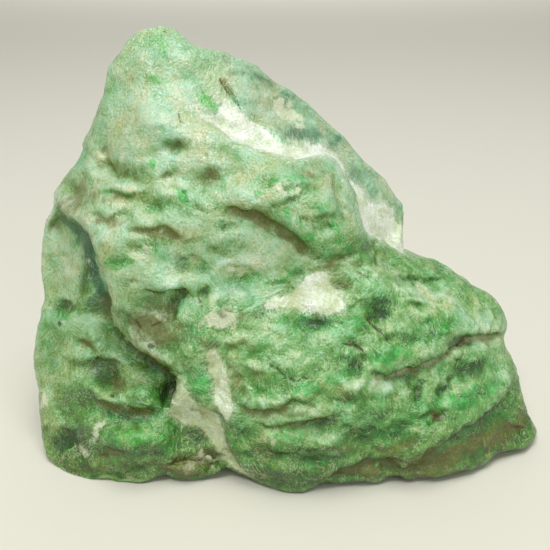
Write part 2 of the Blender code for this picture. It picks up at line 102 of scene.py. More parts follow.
def normals_of(mesh):
    """The direction that each point of the skin faces."""
    flat = np.empty(3 * count, np.float32)
    mesh.vertices.foreach_get("normal", flat)
    return flat.reshape(-1, 3).astype(float)


def eased(values, times, share=0.6):
    """Values over the skin, each drawn towards the mean of its neighbours."""
    for _ in range(times):
        columns = values.reshape(count, -1).T
        mean = [np.bincount(ends, column[others], count) / neighbours for column in columns]
        values = values + share * (np.array(mean).T.reshape(values.shape) - values)
    return values


def set_points(points):
    boulder_mesh.vertices.foreach_set("co", (points * MILLIMETRE).astype(np.float32).ravel())
    boulder_mesh.update()


# Its folds, pits and cracks. Weathering has cut soft bands of the rock back into ledges and
# folds, and has left pits, swellings and hairline cracks between them. They are laid out on a
# face plane square to a sight line that comes down on the boulder from the front: u runs
# right and w runs up, in millimetres.

EYE = np.array([-3.0, -199.4, 130.6])
SIGHT_DOWN = math.radians(23.8)
FACE_DISTANCE = 200.0

sight = np.array([0.0, math.cos(SIGHT_DOWN), -math.sin(SIGHT_DOWN)])
face_up = np.array([0.0, math.sin(SIGHT_DOWN), math.cos(SIGHT_DOWN)])


def smooth_step(value):
    """0 below 0, 1 above 1, and an even rise between."""
    value = np.clip(value, 0.0, 1.0)
    return value * value * (3.0 - 2.0 * value)


points = eased(points_of(boulder_mesh), 2)
points[:, 2] = np.maximum(points[:, 2], 0.0)
set_points(points)
facing = eased(normals_of(boulder_mesh), 4)
facing /= np.linalg.norm(facing, axis=1)[:, None]
from_eye = points - EYE
ahead = from_eye @ sight
u = from_eye[:, 0] * FACE_DISTANCE / ahead
w = (from_eye @ face_up) * FACE_DISTANCE / ahead
towards_eye = -np.sum(facing * from_eye, axis=1) / np.linalg.norm(from_eye, axis=1)
front = smooth_step(0.5 + 2.0 * towards_eye)
# 0 over the upper left face, and 1 over the right and lower masses.
lower_right = (0.55 * u - w + 16.0) / 42.0

# The groove between the main mass and the left lobe.
GROOVE = [
    (-57, 23), (-56.9, 20.6), (-55.3, 17.9), (-54, 15.5), (-52.3, 13.8), (-50.8, 11.5),
    (-49.6, 9.1), (-48.6, 6.1), (-47.9, 2.7), (-46.9, -0.7), (-45.2, -3.7), (-44, -6.1),
    (-43.9, -9.8), (-43.4, -12.8), (-42.2, -14.9), (-40.5, -17.2), (-37.8, -19.6),
    (-34.8, -21.4), (-32.4, -23.3), (-29, -25), (-27, -26.7), (-26.7, -28.4), (-27, -31.7),
    (-28.4, -34.8), (-30, -37.1),
]
# The central fold, under the proud block.
CENTRAL_FOLD = [
    (-15, 19.6), (-13.5, 19.4), (-11.1, 18.2), (-8.4, 17.7), (-5.4, 17.4), (-2.7, 16.4),
    (-0.3, 14.5), (2.7, 12.5), (5.7, 10.5), (8.1, 8.9), (9.5, 7.4), (10.8, 5.4),
]
# The long ledge across the right lobe.
RIGHT_LEDGE = [
    (25, -25.5), (27, -26), (30, -27), (33, -26.2), (36, -25.3), (40, -23.5), (44, -21.8),
    (46.5, -20), (48.5, -18.5), (50, -17), (53, -16.5), (58, -15.8), (63, -14.5),
]

# A fold's run has its proud side on the left of its travel: how far that side stands
# forward, how far the other falls back, how far each fades out, and the lip's half width.
FOLDS = [
    (GROOVE, 0.7, 1.8, 3.0, 2.2, 0.4), (CENTRAL_FOLD, 0.4, 0.4, 2.5, 2.5, 0.4),
    (RIGHT_LEDGE, 0.5, 1.3, 2.5, 1.6, 0.3),
    # the lip along the long white vein
    ([(34.4, 6.6), (31.7, 7.6), (29.7, 9.1), (27.7, 10.1), (25.6, 11), (24.3, 12.1),
      (23.3, 14.5), (22.4, 17.9), (21.9, 21.6), (20.2, 25), (18.6, 27), (17.5, 29.4),
      (16.2, 31.4), (14.5, 32.2), (12.1, 32.7), (9.8, 32.4), (8.1, 31.7), (5.7, 31.2),
      (3.7, 31.9), (0.7, 32.2), (-2, 33.1), (-5.4, 34.1), (-8.1, 35.8), (-11.5, 36.5),
      (-13.8, 38.5), (-16.2, 40.8), (-20.2, 42.2)], 0.4, 0.7, 3.0, 2.5, 0.4),
    # the fold under the lit band at the lower right
    ([(32.5, -54.2), (34, -53), (38, -49.5), (42, -47), (46, -44), (50, -42), (53, -40),
      (57, -38), (60.5, -35), (62.5, -31), (65, -26)], 0.6, 0.8, 2.5, 3.0, 0.4),
    ([(6, -57), (15, -54), (18, -52), (25, -50), (36, -49.5)], 0.4, 0.8, 2.5, 2.5, 0.5),
    ([(62, -40), (66, -41), (68, -43)], 0.3, 0.8, 2.0, 2.0, 0.3),
    # the crack along the foot of the proud block, on into the saddle
    ([(23, 5.7), (21.6, 5.2), (19.2, 4), (16.5, 3.5), (14.5, 2.9), (12.8, 3.5), (10.1, 4.2),
      (7.8, 5.1), (6, 7.1)], -0.2, 0.9, 1.2, 1.2, 0.3),
    # the proud block's right-hand edge, and the hollows on its face
    ([(18.9, 15.5), (16.9, 17.9), (16, 22.3), (15.2, 25.6), (15.2, 27.7)], 0.5, 0.7, 2.0, 2.0,
     0.4),
    ([(0, 22), (4, 24.5), (9, 24), (14, 23.5)], 0.3, 0.6, 2.0, 2.0, 0.5),
    ([(6, 16), (10, 15), (14, 16.5), (17, 15)], 0.3, 0.7, 2.0, 2.0, 0.4),
    ([(-2, 20), (1, 19), (5, 21), (8.5, 23.5)], 0.2, 0.5, 1.5, 1.8, 0.4),
    # the arch over the low knob, and the ledge above it
    ([(-31, -51), (-27.3, -50), (-24.6, -48.4), (-20.6, -48.1), (-17, -48), (-12, -50)],
     0.3, 0.3, 2.0, 2.0, 0.4),
    # folds down the upper left face
    ([(-50, 21.5), (-48, 22), (-44, 23), (-40, 21.5), (-36, 22), (-33, 23.5)], 0.4, 0.5, 2.5,
     2.2, 0.8),
    ([(-52, 16), (-48, 17), (-45, 15), (-42, 17), (-38, 17.5)], 0.4, 0.5, 2.5, 2.0, 0.8),
    ([(-41, 13), (-37, 12.5), (-33, 12), (-30, 13.5), (-27, 11.5), (-24, 10), (-18, 9.5)],
     0.5, 0.3, 2.5, 2.0, 0.5),
    ([(-31, 26), (-29, 27.3), (-27, 26)], 0.4, 0.6, 2.0, 1.5, 0.4),
    ([(-46.5, 35), (-45, 31), (-44, 28.5), (-41, 25.5)], 0.2, 0.5, 2.0, 1.5, 0.3),
    ([(-35.4, -3.5), (-33, -4.5), (-30, -5.1), (-27.3, -4), (-24.6, -3.5), (-23, -5.1),
      (-20.9, -6.4)], 0.4, 0.8, 2.0, 1.5, 0.3),
    ([(-42, -3), (-39, -1.2), (-36, -1.5)], 0.3, 0.7, 2.0, 1.5, 0.3),
    ([(-28, 0.5), (-25.5, 4.3), (-22, 5.4), (-17, 3)], 0.4, 0.2, 2.0, 1.8, 0.5),
    ([(-16.5, 12.5), (-12, 13.5), (-8, 13)], 0.2, 0.5, 2.0, 1.5, 0.4),
    # the lip of the bowl
    ([(-4.5, -6.7), (-5.4, -7.4), (-7.1, -8.4), (-9.5, -9.8), (-11.8, -9.6), (-14.2, -8.9),
      (-16.5, -7.4)], 0.5, 0.9, 2.0, 2.0, 0.3),
    ([(-16, 2), (-12, 3), (-7, 2.2), (-3.5, -1)], 0.3, 0.6, 2.0, 2.0, 0.5),
    ([(-14, -18.5), (-11, -19), (-7, -17.5)], 0.3, 0.5, 2.0, 1.5, 0.4),
    ([(-2.5, -2.6), (2, -1.6), (5, -0.6), (7.5, 2)], 0.3, 0.5, 2.0, 1.5, 0.4),
    # folds on the left lobe
    ([(-54, -16.5), (-50, -19), (-48, -21)], 0.3, 0.6, 1.5, 1.5, 0.3),
    ([(-49.5, -22), (-46, -23), (-43, -22.5), (-40.5, -24.5)], 0.5, 0.9, 2.0, 2.5, 0.4),
    ([(-52, -30), (-48, -34), (-44, -35), (-39, -36.5), (-34, -36.5), (-30, -36)], 0.0, 0.5,
     2.5, 3.0, 1.2),
    ([(-60, 5), (-57.5, 6), (-55, 5)], 0.2, 0.5, 1.5, 1.5, 0.3),
    ([(-59, -7.4), (-56, -7), (-53.5, -8.6)], 0.2, 0.7, 1.5, 1.5, 0.3),
    ([(-60, -42.5), (-57, -41.5), (-54, -42.5)], 0.4, 0.7, 2.0, 2.0, 0.4),
    ([(-48, -46), (-44, -46.5), (-40, -47.5)], 0.3, 0.6, 2.0, 1.8, 0.4),
    # folds on the belly
    ([(-22, -31), (-20.5, -35.5), (-14.5, -38), (-13.5, -44.5), (-9.5, -51.5), (-7, -55)],
     0.4, 0.5, 2.0, 2.0, 0.4),
    ([(-10, -34), (-7, -36), (-3, -37), (2, -35.5), (5, -33.5), (8, -34.5), (10, -35.5)],
     0.5, 0.8, 2.0, 1.8, 0.4),
    ([(-6, -40), (0, -41), (4, -40.5), (8, -39.5), (11, -38.5), (14, -39)], 0.4, 0.8, 2.0,
     1.8, 0.4),
    ([(24, -32), (28, -33), (33, -32), (37, -35)], 0.3, 0.6, 2.0, 1.6, 0.4),
    ([(17, -40), (22, -42), (27, -41), (31, -43)], 0.3, 0.6, 2.0, 1.8, 0.4),
    ([(-3, -47), (3, -48.6), (9, -47.8), (14, -49)], 0.3, 0.6, 2.5, 2.0, 0.5),
    # folds along the right lobe
    ([(31, -0.5), (35, -0.6), (40, -1.2), (46, -1.4)], 0.3, 0.7, 1.5, 1.5, 0.3),
    ([(19.5, -9.3), (22, -7.2), (24.5, -6.3)], 0.3, 0.6, 1.5, 1.5, 0.3),
    ([(36, -7.6), (39, -7.8), (42, -8.3)], 0.2, 0.5, 1.5, 1.5, 0.3),
    ([(28, -17), (33, -15.5), (38, -17), (43, -15.5)], 0.3, 0.5, 2.0, 1.8, 0.4),
    ([(48, -22), (52, -23.4), (57, -23)], 0.3, 0.6, 2.0, 2.0, 0.4),
    ([(46, -31.5), (49, -33), (53, -33.5), (57, -31)], 0.3, 0.6, 2.0, 1.8, 0.4),
    ([(38, -39), (42, -37), (46, -38.5), (50, -38)], 0.3, 0.5, 2.0, 1.6, 0.4),
    # the rim of the dish behind the white vein, and the facet's shallow shelves
    ([(13, 40), (9, 41), (6, 40.8), (3, 40.7), (0, 42), (-2, 44)], 0.4, -0.5, 1.5, 2.0, 0.35),
    ([(-14, 53.5), (-12, 50), (-10.5, 47.6), (-8.5, 45)], 0.1, 0.5, 2.0, 1.2, 0.3),
    ([(12, 37), (16, 33), (19, 31.5), (22, 27)], 0.2, -0.4, 2.0, 2.0, 0.4),
    ([(18, 38), (12, 43.5), (5, 48), (-3, 50.5)], -0.3, 0.9, 1.6, 2.6, 0.4),
    ([(-14, 55), (-8, 55), (-2, 52.5), (2, 51)], 0.3, 0.6, 2.0, 2.0, 0.5),
    ([(22, 30), (25, 25), (29, 20)], 0.3, 0.6, 1.6, 1.6, 0.4),
]

# Hairline cracks: the run, the depth and half the width.
CRACKS = [
    ([(-42, -15), (-40.3, -17.3), (-37.6, -19.8), (-34.6, -21.7), (-32, -23.6)], 0.9, 0.5),
    ([(24.5, -11), (26, -13), (28, -14.5), (30, -16.6), (32, -19)], 0.6, 0.4),
    ([(18, -18.5), (21, -19), (23.5, -20), (23.7, -22), (23.5, -24)], 0.6, 0.4),
    ([(-2, -23.6), (0.5, -25), (2.7, -27.5), (5.7, -28.7), (9.1, -27.7)], 0.5, 0.4),
    ([(-26, 44), (-25.6, 42), (-25.5, 40)], 0.4, 0.35),
    ([(-28, 25), (-26.2, 23.2), (-24.3, 21.3), (-22, 19), (-19.2, 16.9)], 0.5, 0.4),
    ([(-37.5, -12.2), (-36, -14.6)], 0.5, 0.4), ([(-33, -13.9), (-30.6, -12.5)], 0.4, 0.4),
    ([(-28, -13), (-27.6, -9), (-25.6, -6), (-24, -4)], 0.7, 0.5),
    ([(32, -5), (38, -6), (45, -7), (50, -9), (55, -12)], 0.35, 0.4),
    ([(23, 0.5), (25, -0.5), (27.5, 1.5)], 0.4, 0.35),
    ([(-15, 53), (-13, 50), (-11.5, 48.5), (-9.3, 45)], 0.5, 0.4),
    ([(44, -38), (42.6, -39.6), (41, -41)], 0.6, 0.4),
    ([(5, -47), (9, -48), (14, -47.5), (19, -48.3)], 0.4, 0.5),
    ([(-17, 0), (-17.6, 6), (-18.6, 10)], 0.3, 0.4),
    ([(27, 10), (28, 6), (27.5, 2)], 0.6, 0.6),
    ([(52, -21), (50.4, -25), (47, -29), (44, -33)], 0.6, 0.7),
    ([(38.4, -29), (38.6, -32), (38.5, -34.5)], 0.6, 0.6),
    ([(21.6, -22), (22.2, -25), (22, -28)], 0.6, 0.6),
    ([(-33, -50), (-32.4, -48.6), (-31, -47.6)], 0.5, 0.5),
]

# Pits (depth above zero) and swellings (below zero): centre, half sizes, tilt and depth.
PITS = [
    ((-40, 27), (4.2, 1.8), -20, 0.2), ((-18, 25.5), (3.6, 2.6), 0, 0.2),
    ((-26.3, 34.2), (2.6, 1.3), -10, 0.7), ((-33, 18.5), (3.4, 1.6), 0, 0.6),
    ((-31, 10.2), (5.2, 2.2), 0, -1.0), ((-41.5, 3), (2.6, 1.8), 0, 0.7),
    ((-22.5, 3), (4.8, 2.0), -8, -0.7), ((-10.5, -2.3), (4.2, 2.0), 5, 0.9),
    ((-19.2, -5.4), (1.6, 2.2), 0, 0.9), ((-46, -26), (4.0, 2.4), -25, 1.0),
    ((-56.4, -45.2), (2.8, 1.6), 0, 0.9), ((-55.8, -8.9), (2.4, 1.1), 0, 0.7),
    ((-4, -48), (3.2, 1.2), 0, 0.7), ((11, -40), (3.4, 1.3), 5, 0.9),
    ((10, -13.5), (4.2, 1.7), 0, 0.9), ((53, -26), (3.0, 1.8), 20, 0.8),
    ((13, 13), (2.4, 1.6), 0, 0.7), ((49.5, -17.6), (2.4, 1.2), 20, 0.8),
    ((4, 43), (4.0, 2.0), -20, 0.6), ((17.5, -3.3), (1.8, 1.5), 0, 0.6),
    ((-44, -48.5), (3.0, 1.2), 0, 0.7), ((28, -10.8), (2.4, 1.4), -30, 0.7),
    ((44, -38.5), (1.8, 1.2), 0, 0.7), ((9, -35), (3.0, 1.0), 0, 0.7),
    ((37, -18.5), (2.4, 1.2), 0, 0.6), ((24, 7), (1.6, 2.4), 0, 0.6),
    ((26, -28.5), (2.6, 1.2), 0, -0.5), ((3, -52.3), (4.4, 1.6), 0, -0.6),
    ((-36, -29), (5.4, 3.4), -15, -0.8), ((-37, -44.5), (6.0, 3.0), 0, -0.8),
    ((-22, -52.0), (6.5, 2.6), 0, -2.0), ((-19.5, -49.3), (5.0, 1.5), -6, -5.0),
    ((-56.3, 17.5), (2.6, 5.5), 20, -4.5), ((-19, -31), (2.2, 3.2), 0, -0.7),
    ((13.5, 25), (1.4, 1.1), 0, -0.4), ((52, -30.5), (2.6, 1.2), 0, -0.5),
    ((48, -35), (3.0, 1.0), 10, -0.5), ((-44, -11), (3.4, 3.0), 0, -0.4),
    ((-35, -16.4), (2.6, 1.6), 10, 0.6), ((-31, -9), (2.4, 1.4), -20, 0.6),
    ((33, -43), (2.6, 1.2), 20, 0.6), ((-51, -35.6), (2.4, 1.2), -20, 0.7),
    ((-16, 29), (2.2, 1.3), -20, -0.3), ((-44, 8), (3.0, 2.2), 0, -0.4),
    ((-36, 31), (3.2, 2.0), -20, -0.5), ((-43, 19.6), (2.8, 1.4), -10, -0.4),
]


def along_run(run, u, w):
    """Signed distance to a run of points, above zero on the left of its travel, and how far
    along the run the nearest place is, in millimetres from its nearer end."""
    run = np.array(run, float)
    lengths = np.hypot(*np.diff(run, axis=0).T)
    starts = np.append(0.0, np.cumsum(lengths))
    nearest = np.full(u.shape, np.inf)
    signed = np.zeros(u.shape)
    place = np.zeros(u.shape)
    for (a, b), (c, d), length, start in zip(run[:-1], run[1:], lengths, starts):
        east, north = (c - a) / length, (d - b) / length
        travel = np.clip((u - a) * east + (w - b) * north, 0.0, length)
        off_u, off_w = u - a - travel * east, w - b - travel * north
        far = np.hypot(off_u, off_w)
        closer = far < nearest
        nearest = np.where(closer, far, nearest)
        side = np.where((w - b) * east - (u - a) * north >= 0.0, 1.0, -1.0)
        signed = np.where(closer, far * side, signed)
        place = np.where(closer, start + travel, place)
    return signed, np.minimum(place, starts[-1] - place)


def noise_over(points, size, octaves=1, shift=0.0):
    """Even noise over the skin, about -1 to 1, with lumps of a size in millimetres. Each use
    has a shift of its own, so that no two of them line up."""
    at = (points / size + shift).tolist()
    return np.array([noise.fractal(Vector(point), 1.0, 2.0, octaves) for point in at])


# Wear has opened the central fold into a soft dip.
DIP_MIDDLE = -1.0
DIP_HALF_WIDTH = 3.5
off_dip = along_run(CENTRAL_FOLD, u, w)[0] - DIP_MIDDLE
worn = front * np.exp(-((off_dip / DIP_HALF_WIDTH) ** 2))
points += worn[:, None] * (eased(points, 40) - points)
# The marks wander off their drawn places by up to this much, so that none runs straight.
WANDER = 0.7
wander_u = u + WANDER * noise_over(points, 4.0, 2, 3.0)
wander_w = w + WANDER * noise_over(points, 4.0, 2, 11.0)


def fold(run, proud, drop, proud_fade, drop_fade, lip):
    """Height change of a fold, above zero on its proud side."""
    signed, from_end = along_run(run, wander_u, wander_w)
    upper = 0.5 + 0.5 * np.tanh(signed / lip)
    forward = proud * np.exp(-np.maximum(signed, 0.0) / proud_fade)
    back = drop * np.exp(np.minimum(signed, 0.0) / drop_fade)
    fade = np.clip(0.3 * from_end.max(), 2.0, 6.0)
    return (upper * forward - (1.0 - upper) * back) * smooth_step(from_end / fade)


def crack(run, deep, half_width):
    """Height change of a crack, which runs out at its ends."""
    signed, from_end = along_run(run, wander_u, wander_w)
    return -deep * np.exp(-((signed / half_width) ** 2)) * smooth_step(0.2 + from_end / 2.0)


def oval(centre, half_sizes, tilt, u, w):
    """Squared distance from a centre, 1 on the oval's edge."""
    turn = math.radians(tilt)
    east, north = u - centre[0], w - centre[1]
    across = (east * math.cos(turn) + north * math.sin(turn)) / half_sizes[0]
    upward = (north * math.cos(turn) - east * math.sin(turn)) / half_sizes[1]
    return across**2 + upward**2


PIT_SHARE = 0.6
cut = np.zeros(count)
for run, proud, drop, proud_fade, drop_fade, lip in FOLDS:
    cut += fold(run, proud, drop, proud_fade, drop_fade, lip)
for run, deep, half_width in CRACKS:
    cut += crack(run, deep, half_width)
for centre, half_sizes, tilt, deep in PITS:
    far = oval(centre, half_sizes, tilt, wander_u, wander_w)
    cut -= PIT_SHARE * deep * np.exp(-0.9 * far**1.3)

# The skin between the marks: low swellings drawn out along two lies of the rock, then
# rounded wear parted by creases, chips and grit, each with its size in millimetres. All are
# coarser and higher on the lower right.
SWELL_SIZE = 6.5
WEAR_SIZE = 4.0
CHIP_SIZE = 2.6
GRIT_SIZE = 1.5
CREASE = 0.05
FALLING = np.array([0.94, 0.0, -0.34])
RISING = np.array([0.9, 0.0, 0.44])
coarse_share = front * smooth_step(lower_right) + 0.5 * (1 - front)
swell = np.zeros(count)
for lie, share in ((FALLING, 1.0 - coarse_share), (RISING, coarse_share)):
    drawn_out = points - 0.5 * (points @ lie)[:, None] * lie
    swell += (0.45 + 0.3 * coarse_share) * share * noise_over(drawn_out, SWELL_SIZE, 2, 21.0)
rounded = np.sqrt(noise_over(points, WEAR_SIZE, 2, 41.0) ** 2 + CREASE**2) - 0.3
wear = (0.25 + 0.25 * coarse_share) * rounded
chips = np.array([noise.voronoi(Vector(point) / CHIP_SIZE)[0][0] for point in points.tolist()])
wear += (0.12 + 0.3 * coarse_share) * (chips - 0.4)
grit = (0.05 + 0.08 * coarse_share) * noise_over(points, GRIT_SIZE, 2, 61.0)

# Bedding left by the rock's shearing: low waves that rise slowly and end in a sharper lip.
BED_SPACING = 9.0
BED_SLOPE = 0.18
bedding = points[:, 2] + BED_SLOPE * points[:, 0]
phase = bedding / BED_SPACING + 1.3 * noise_over(points, 20.0, 2, 51.0)
step = phase - np.floor(phase)
wave = smooth_step(step / 0.3) * smooth_step((1.0 - step) / 0.7) - 0.45
reach_of_wave = smooth_step(0.4 + 1.4 * noise_over(points, 12.0, 1, 53.0))
waves_high = (0.3 + 0.8 * (1.0 - front)) * wave * reach_of_wave
height = front * cut + swell + wear + grit + waves_high
# The pads that it stands on stay flat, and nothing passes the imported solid's box.
resting = smooth_step((points[:, 2] - 0.4) / 2.5)
height *= np.where(facing[:, 2] < 0.0, resting, 1.0)
points += facing * height[:, None]
low, high = (np.array(corner) / MILLIMETRE for corner in cad_box)
points = np.clip(points, low, high)
set_points(points)

# Its stone. Jadeite is a felt of interlocked fibres, from white through apple green to emerald
# where chromium got in. White albite runs through it in veins, iron has stained some folds
# olive and the cracks rust brown, and painted shade darkens and warms its folds, hollows,
# undersides and foot. These marks are laid out on the same face plane.

# White and cream veins, as outlines on the face plane.
VEINS = [
    # the long vein from the upper left to the right shoulder
    [(-22.9, 45.2), (-20.2, 42.2), (-16.2, 40.8), (-13.8, 38.5), (-11.5, 36.5), (-8.1, 35.8),
     (-5.4, 34.1), (-2, 33.1), (0.7, 32.2), (3.7, 31.9), (5.7, 31.2), (8.1, 31.7),
     (9.8, 32.4), (12.1, 32.7), (14.5, 32.2), (16.2, 31.4), (17.5, 29.4), (18.6, 27),
     (20.2, 25), (21.9, 21.6), (22.4, 17.9), (23.3, 14.5), (24.3, 12.1), (25.6, 11),
     (27.7, 10.1), (29.7, 9.1), (31.7, 7.6), (34.8, 6.0), (35.5, 12.8), (32.4, 14.8),
     (31.7, 18.2), (28.7, 19.2), (25.6, 19.6), (23, 24.3), (19.9, 26.3), (18.6, 30),
     (16.9, 32.7), (14.5, 34.1), (12.1, 35.1), (9.1, 35.3), (5.7, 34.8), (1.7, 35.8),
     (-0.7, 37.5), (-3, 39.5), (-5.4, 41.5), (-8.1, 43.5), (-9.8, 44.9), (-12.8, 47.2),
     (-14.8, 49.3), (-14.2, 46), (-15.4, 43.5), (-18.5, 43.6)],
    # the patch in the middle, out to the bowl's lip on the left
    [(9, 0.2), (12, 1.2), (14.4, 0.6), (15.1, -1), (15.5, -3), (17.6, -5.7), (18.6, -8),
     (17, -10.6), (12.6, -11), (8.4, -9.4), (3.4, -9), (0, -8.6), (-3, -9.6), (-3.4, -7.6),
     (-1, -6.2), (2, -5.6), (5, -4), (7, -2)],
    # the upright vein below it, and the fan that runs down to the foot
    [(-18.6, -20.2), (-18.1, -25), (-16.9, -27.7), (-16.2, -31), (-16.1, -34.4),
     (-14.4, -37.8), (-12.5, -39.3), (-11.3, -37.1), (-11.6, -33.8), (-11.8, -30),
     (-12.2, -26.7), (-14.2, -23.3), (-16.2, -20.2)],
    [(-26.5, -29), (-27, -34), (-29, -38), (-21.5, -41), (-17.5, -44.5), (-14.5, -48.5),
     (-11, -52.5), (-8.5, -54), (-7.5, -54), (-9.5, -51.5), (-12, -48), (-14, -44.5),
     (-14, -41), (-15, -38), (-18, -35.5), (-21.5, -34.5), (-24, -30)],
]

# Patches of cream spots, emerald, deep stone and painted shade, pale stone and painted light,
# and olive stain and painted shade, as centre, half sizes, tilt and strength.
CREAM = [
    ((2.7, 44.4), (7.0, 2.0), -40, 1.1), ((-15.4, -12.7), (5.0, 2.2), -5, 1.0),
    ((-9, 39.5), (5.0, 4.0), -30, 0.4),
    # The two cream patches on the low knob are partly pale stone and partly its painted
    # highlight.
    ((-18.5, -49.6), (3.6, 1.4), -25, 1.0), ((-22, -51.8), (2.4, 1.6), 0, 0.6),
    ((-36, -44), (3, 1.2), 20, 0.3),
    ((-51.4, -48), (2.6, 1.4), 10, 0.6), ((-62.4, -34), (1.0, 4.0), 0, 0.7),
    ((27, -29), (4.0, 1.6), 0, 0.6), ((25, -31), (4.0, 1.2), 0, 0.5),
    ((-35, 59), (1.6, 3.2), 25, 0.6), ((-21.5, 47), (2.6, 1.2), -40, 0.6),
    ((1, 22.8), (2.6, 0.9), -15, 0.8), ((7, 22.6), (2.4, 0.9), 25, 0.8),
    ((-32, 6), (2.6, 1.4), -40, 0.5), ((-11, -5.2), (4.0, 1.0), -5, 0.6),
    ((-52, 1), (4.0, 5.0), 0, 0.35), ((32, -2.6), (5.0, 1.0), -25, 0.5),
    ((6, -9.6), (5.0, 1.6), 0, 0.4), ((-18, 37), (8.0, 2.4), -35, 0.4),
    ((-12, 21.6), (5.0, 1.6), -15, 0.3), ((52, -30.5), (2.2, 0.9), 0, 0.6),
    ((-58, 24), (2.0, 4.0), 0, 0.3), ((-56, -47), (3.6, 1.4), -20, 0.35),
    ((12, -42.8), (4.0, 1.0), 5, 0.4), ((-2, -45.4), (4.0, 0.9), 0, 0.4),
]
EMERALD = [
    ((-31.5, 62.5), (1.8, 3.2), 20, 0.9), ((-18, 47), (3.8, 1.5), -45, 1.0),
    ((-32, 53), (4.0, 1.6), -20, 0.6), ((-41, 21.7), (3.6, 0.9), -18, 1.0),
    ((-32, 30), (1.2, 0.9), 0, 0.9), ((-24.5, 21.5), (4.0, 1.1), -45, 1.0),
    ((-18.8, 17.2), (1.0, 0.7), 0, 0.9), ((-33, 17.5), (2.8, 1.2), 0, 0.7),
    ((-34, 8), (2.2, 1.2), 0, 0.6), ((-42, 3.4), (3.2, 2.2), 0, 0.8),
    ((-33, 12.5), (5, 1.2), 10, 0.4), ((-1, 24), (4.0, 1.2), 20, 0.7),
    ((7, 26), (5.0, 1.2), 0, 0.7), ((3, 16.5), (6.0, 2.0), -40, 0.5),
    ((10, 9.6), (5.0, 2.0), -35, 0.8), ((16, 12), (4.0, 2.6), 0, 0.6),
    ((12, 18), (4.0, 1.6), -20, 0.7), ((18, 8), (4.6, 2.6), -20, 0.8),
    ((-9, -1.2), (4.6, 1.6), 0, 0.6), ((3, -0.6), (5.0, 0.9), 20, 0.9),
    ((-6, 9), (5.0, 1.2), 25, 0.4), ((10, -13), (8.0, 2.6), 0, 0.8),
    ((29, -8), (5.0, 3.0), -10, 0.6), ((22, -13), (3.0, 3.0), 0, 0.6),
    ((33, -21), (8.0, 2.4), 20, 0.8), ((44, -13), (5.0, 3.0), -20, 0.6),
    ((20, -23.5), (3.0, 3.0), 0, 0.7), ((8, -31), (5.0, 1.4), 0, 0.9),
    ((-4, -32), (4.0, 1.2), 0, 0.8), ((12, -27), (6.0, 1.6), -10, 0.5),
    ((53, -33), (8.0, 2.4), 25, 0.9), ((42, -36), (7.0, 3.0), 25, 0.8),
    ((56, -39.5), (7.0, 2.4), 28, 0.7), ((30, -42), (9.0, 3.0), 10, 0.7),
    ((5, -45), (9.0, 4.0), 0, 0.5), ((12, -52), (10.0, 3.4), 5, 0.5),
    ((-10, -44), (5.0, 5.0), 0, 0.5), ((-20, -30), (2.6, 4.0), 0, 0.8),
    ((-37, -45), (9.0, 4.0), 0, 0.8), ((-30, -39), (4.0, 3.0), 0, 0.6),
    ((-42, -38), (5.0, 1.6), -10, 0.7), ((-50, -46), (7.0, 3.0), 0, 0.5),
    ((-23, -54), (5.0, 1.4), 0, 0.7), ((-52, -36), (5, 4), 0, 0.4),
    ((-22, -14), (5.0, 5.0), 0, 0.5), ((-26, -20), (4.0, 3.0), 0, 0.5),
    ((-56, -10), (5.0, 5.0), 0, 0.4), ((-45, -12), (3.0, 4.0), 0, 0.5),
]
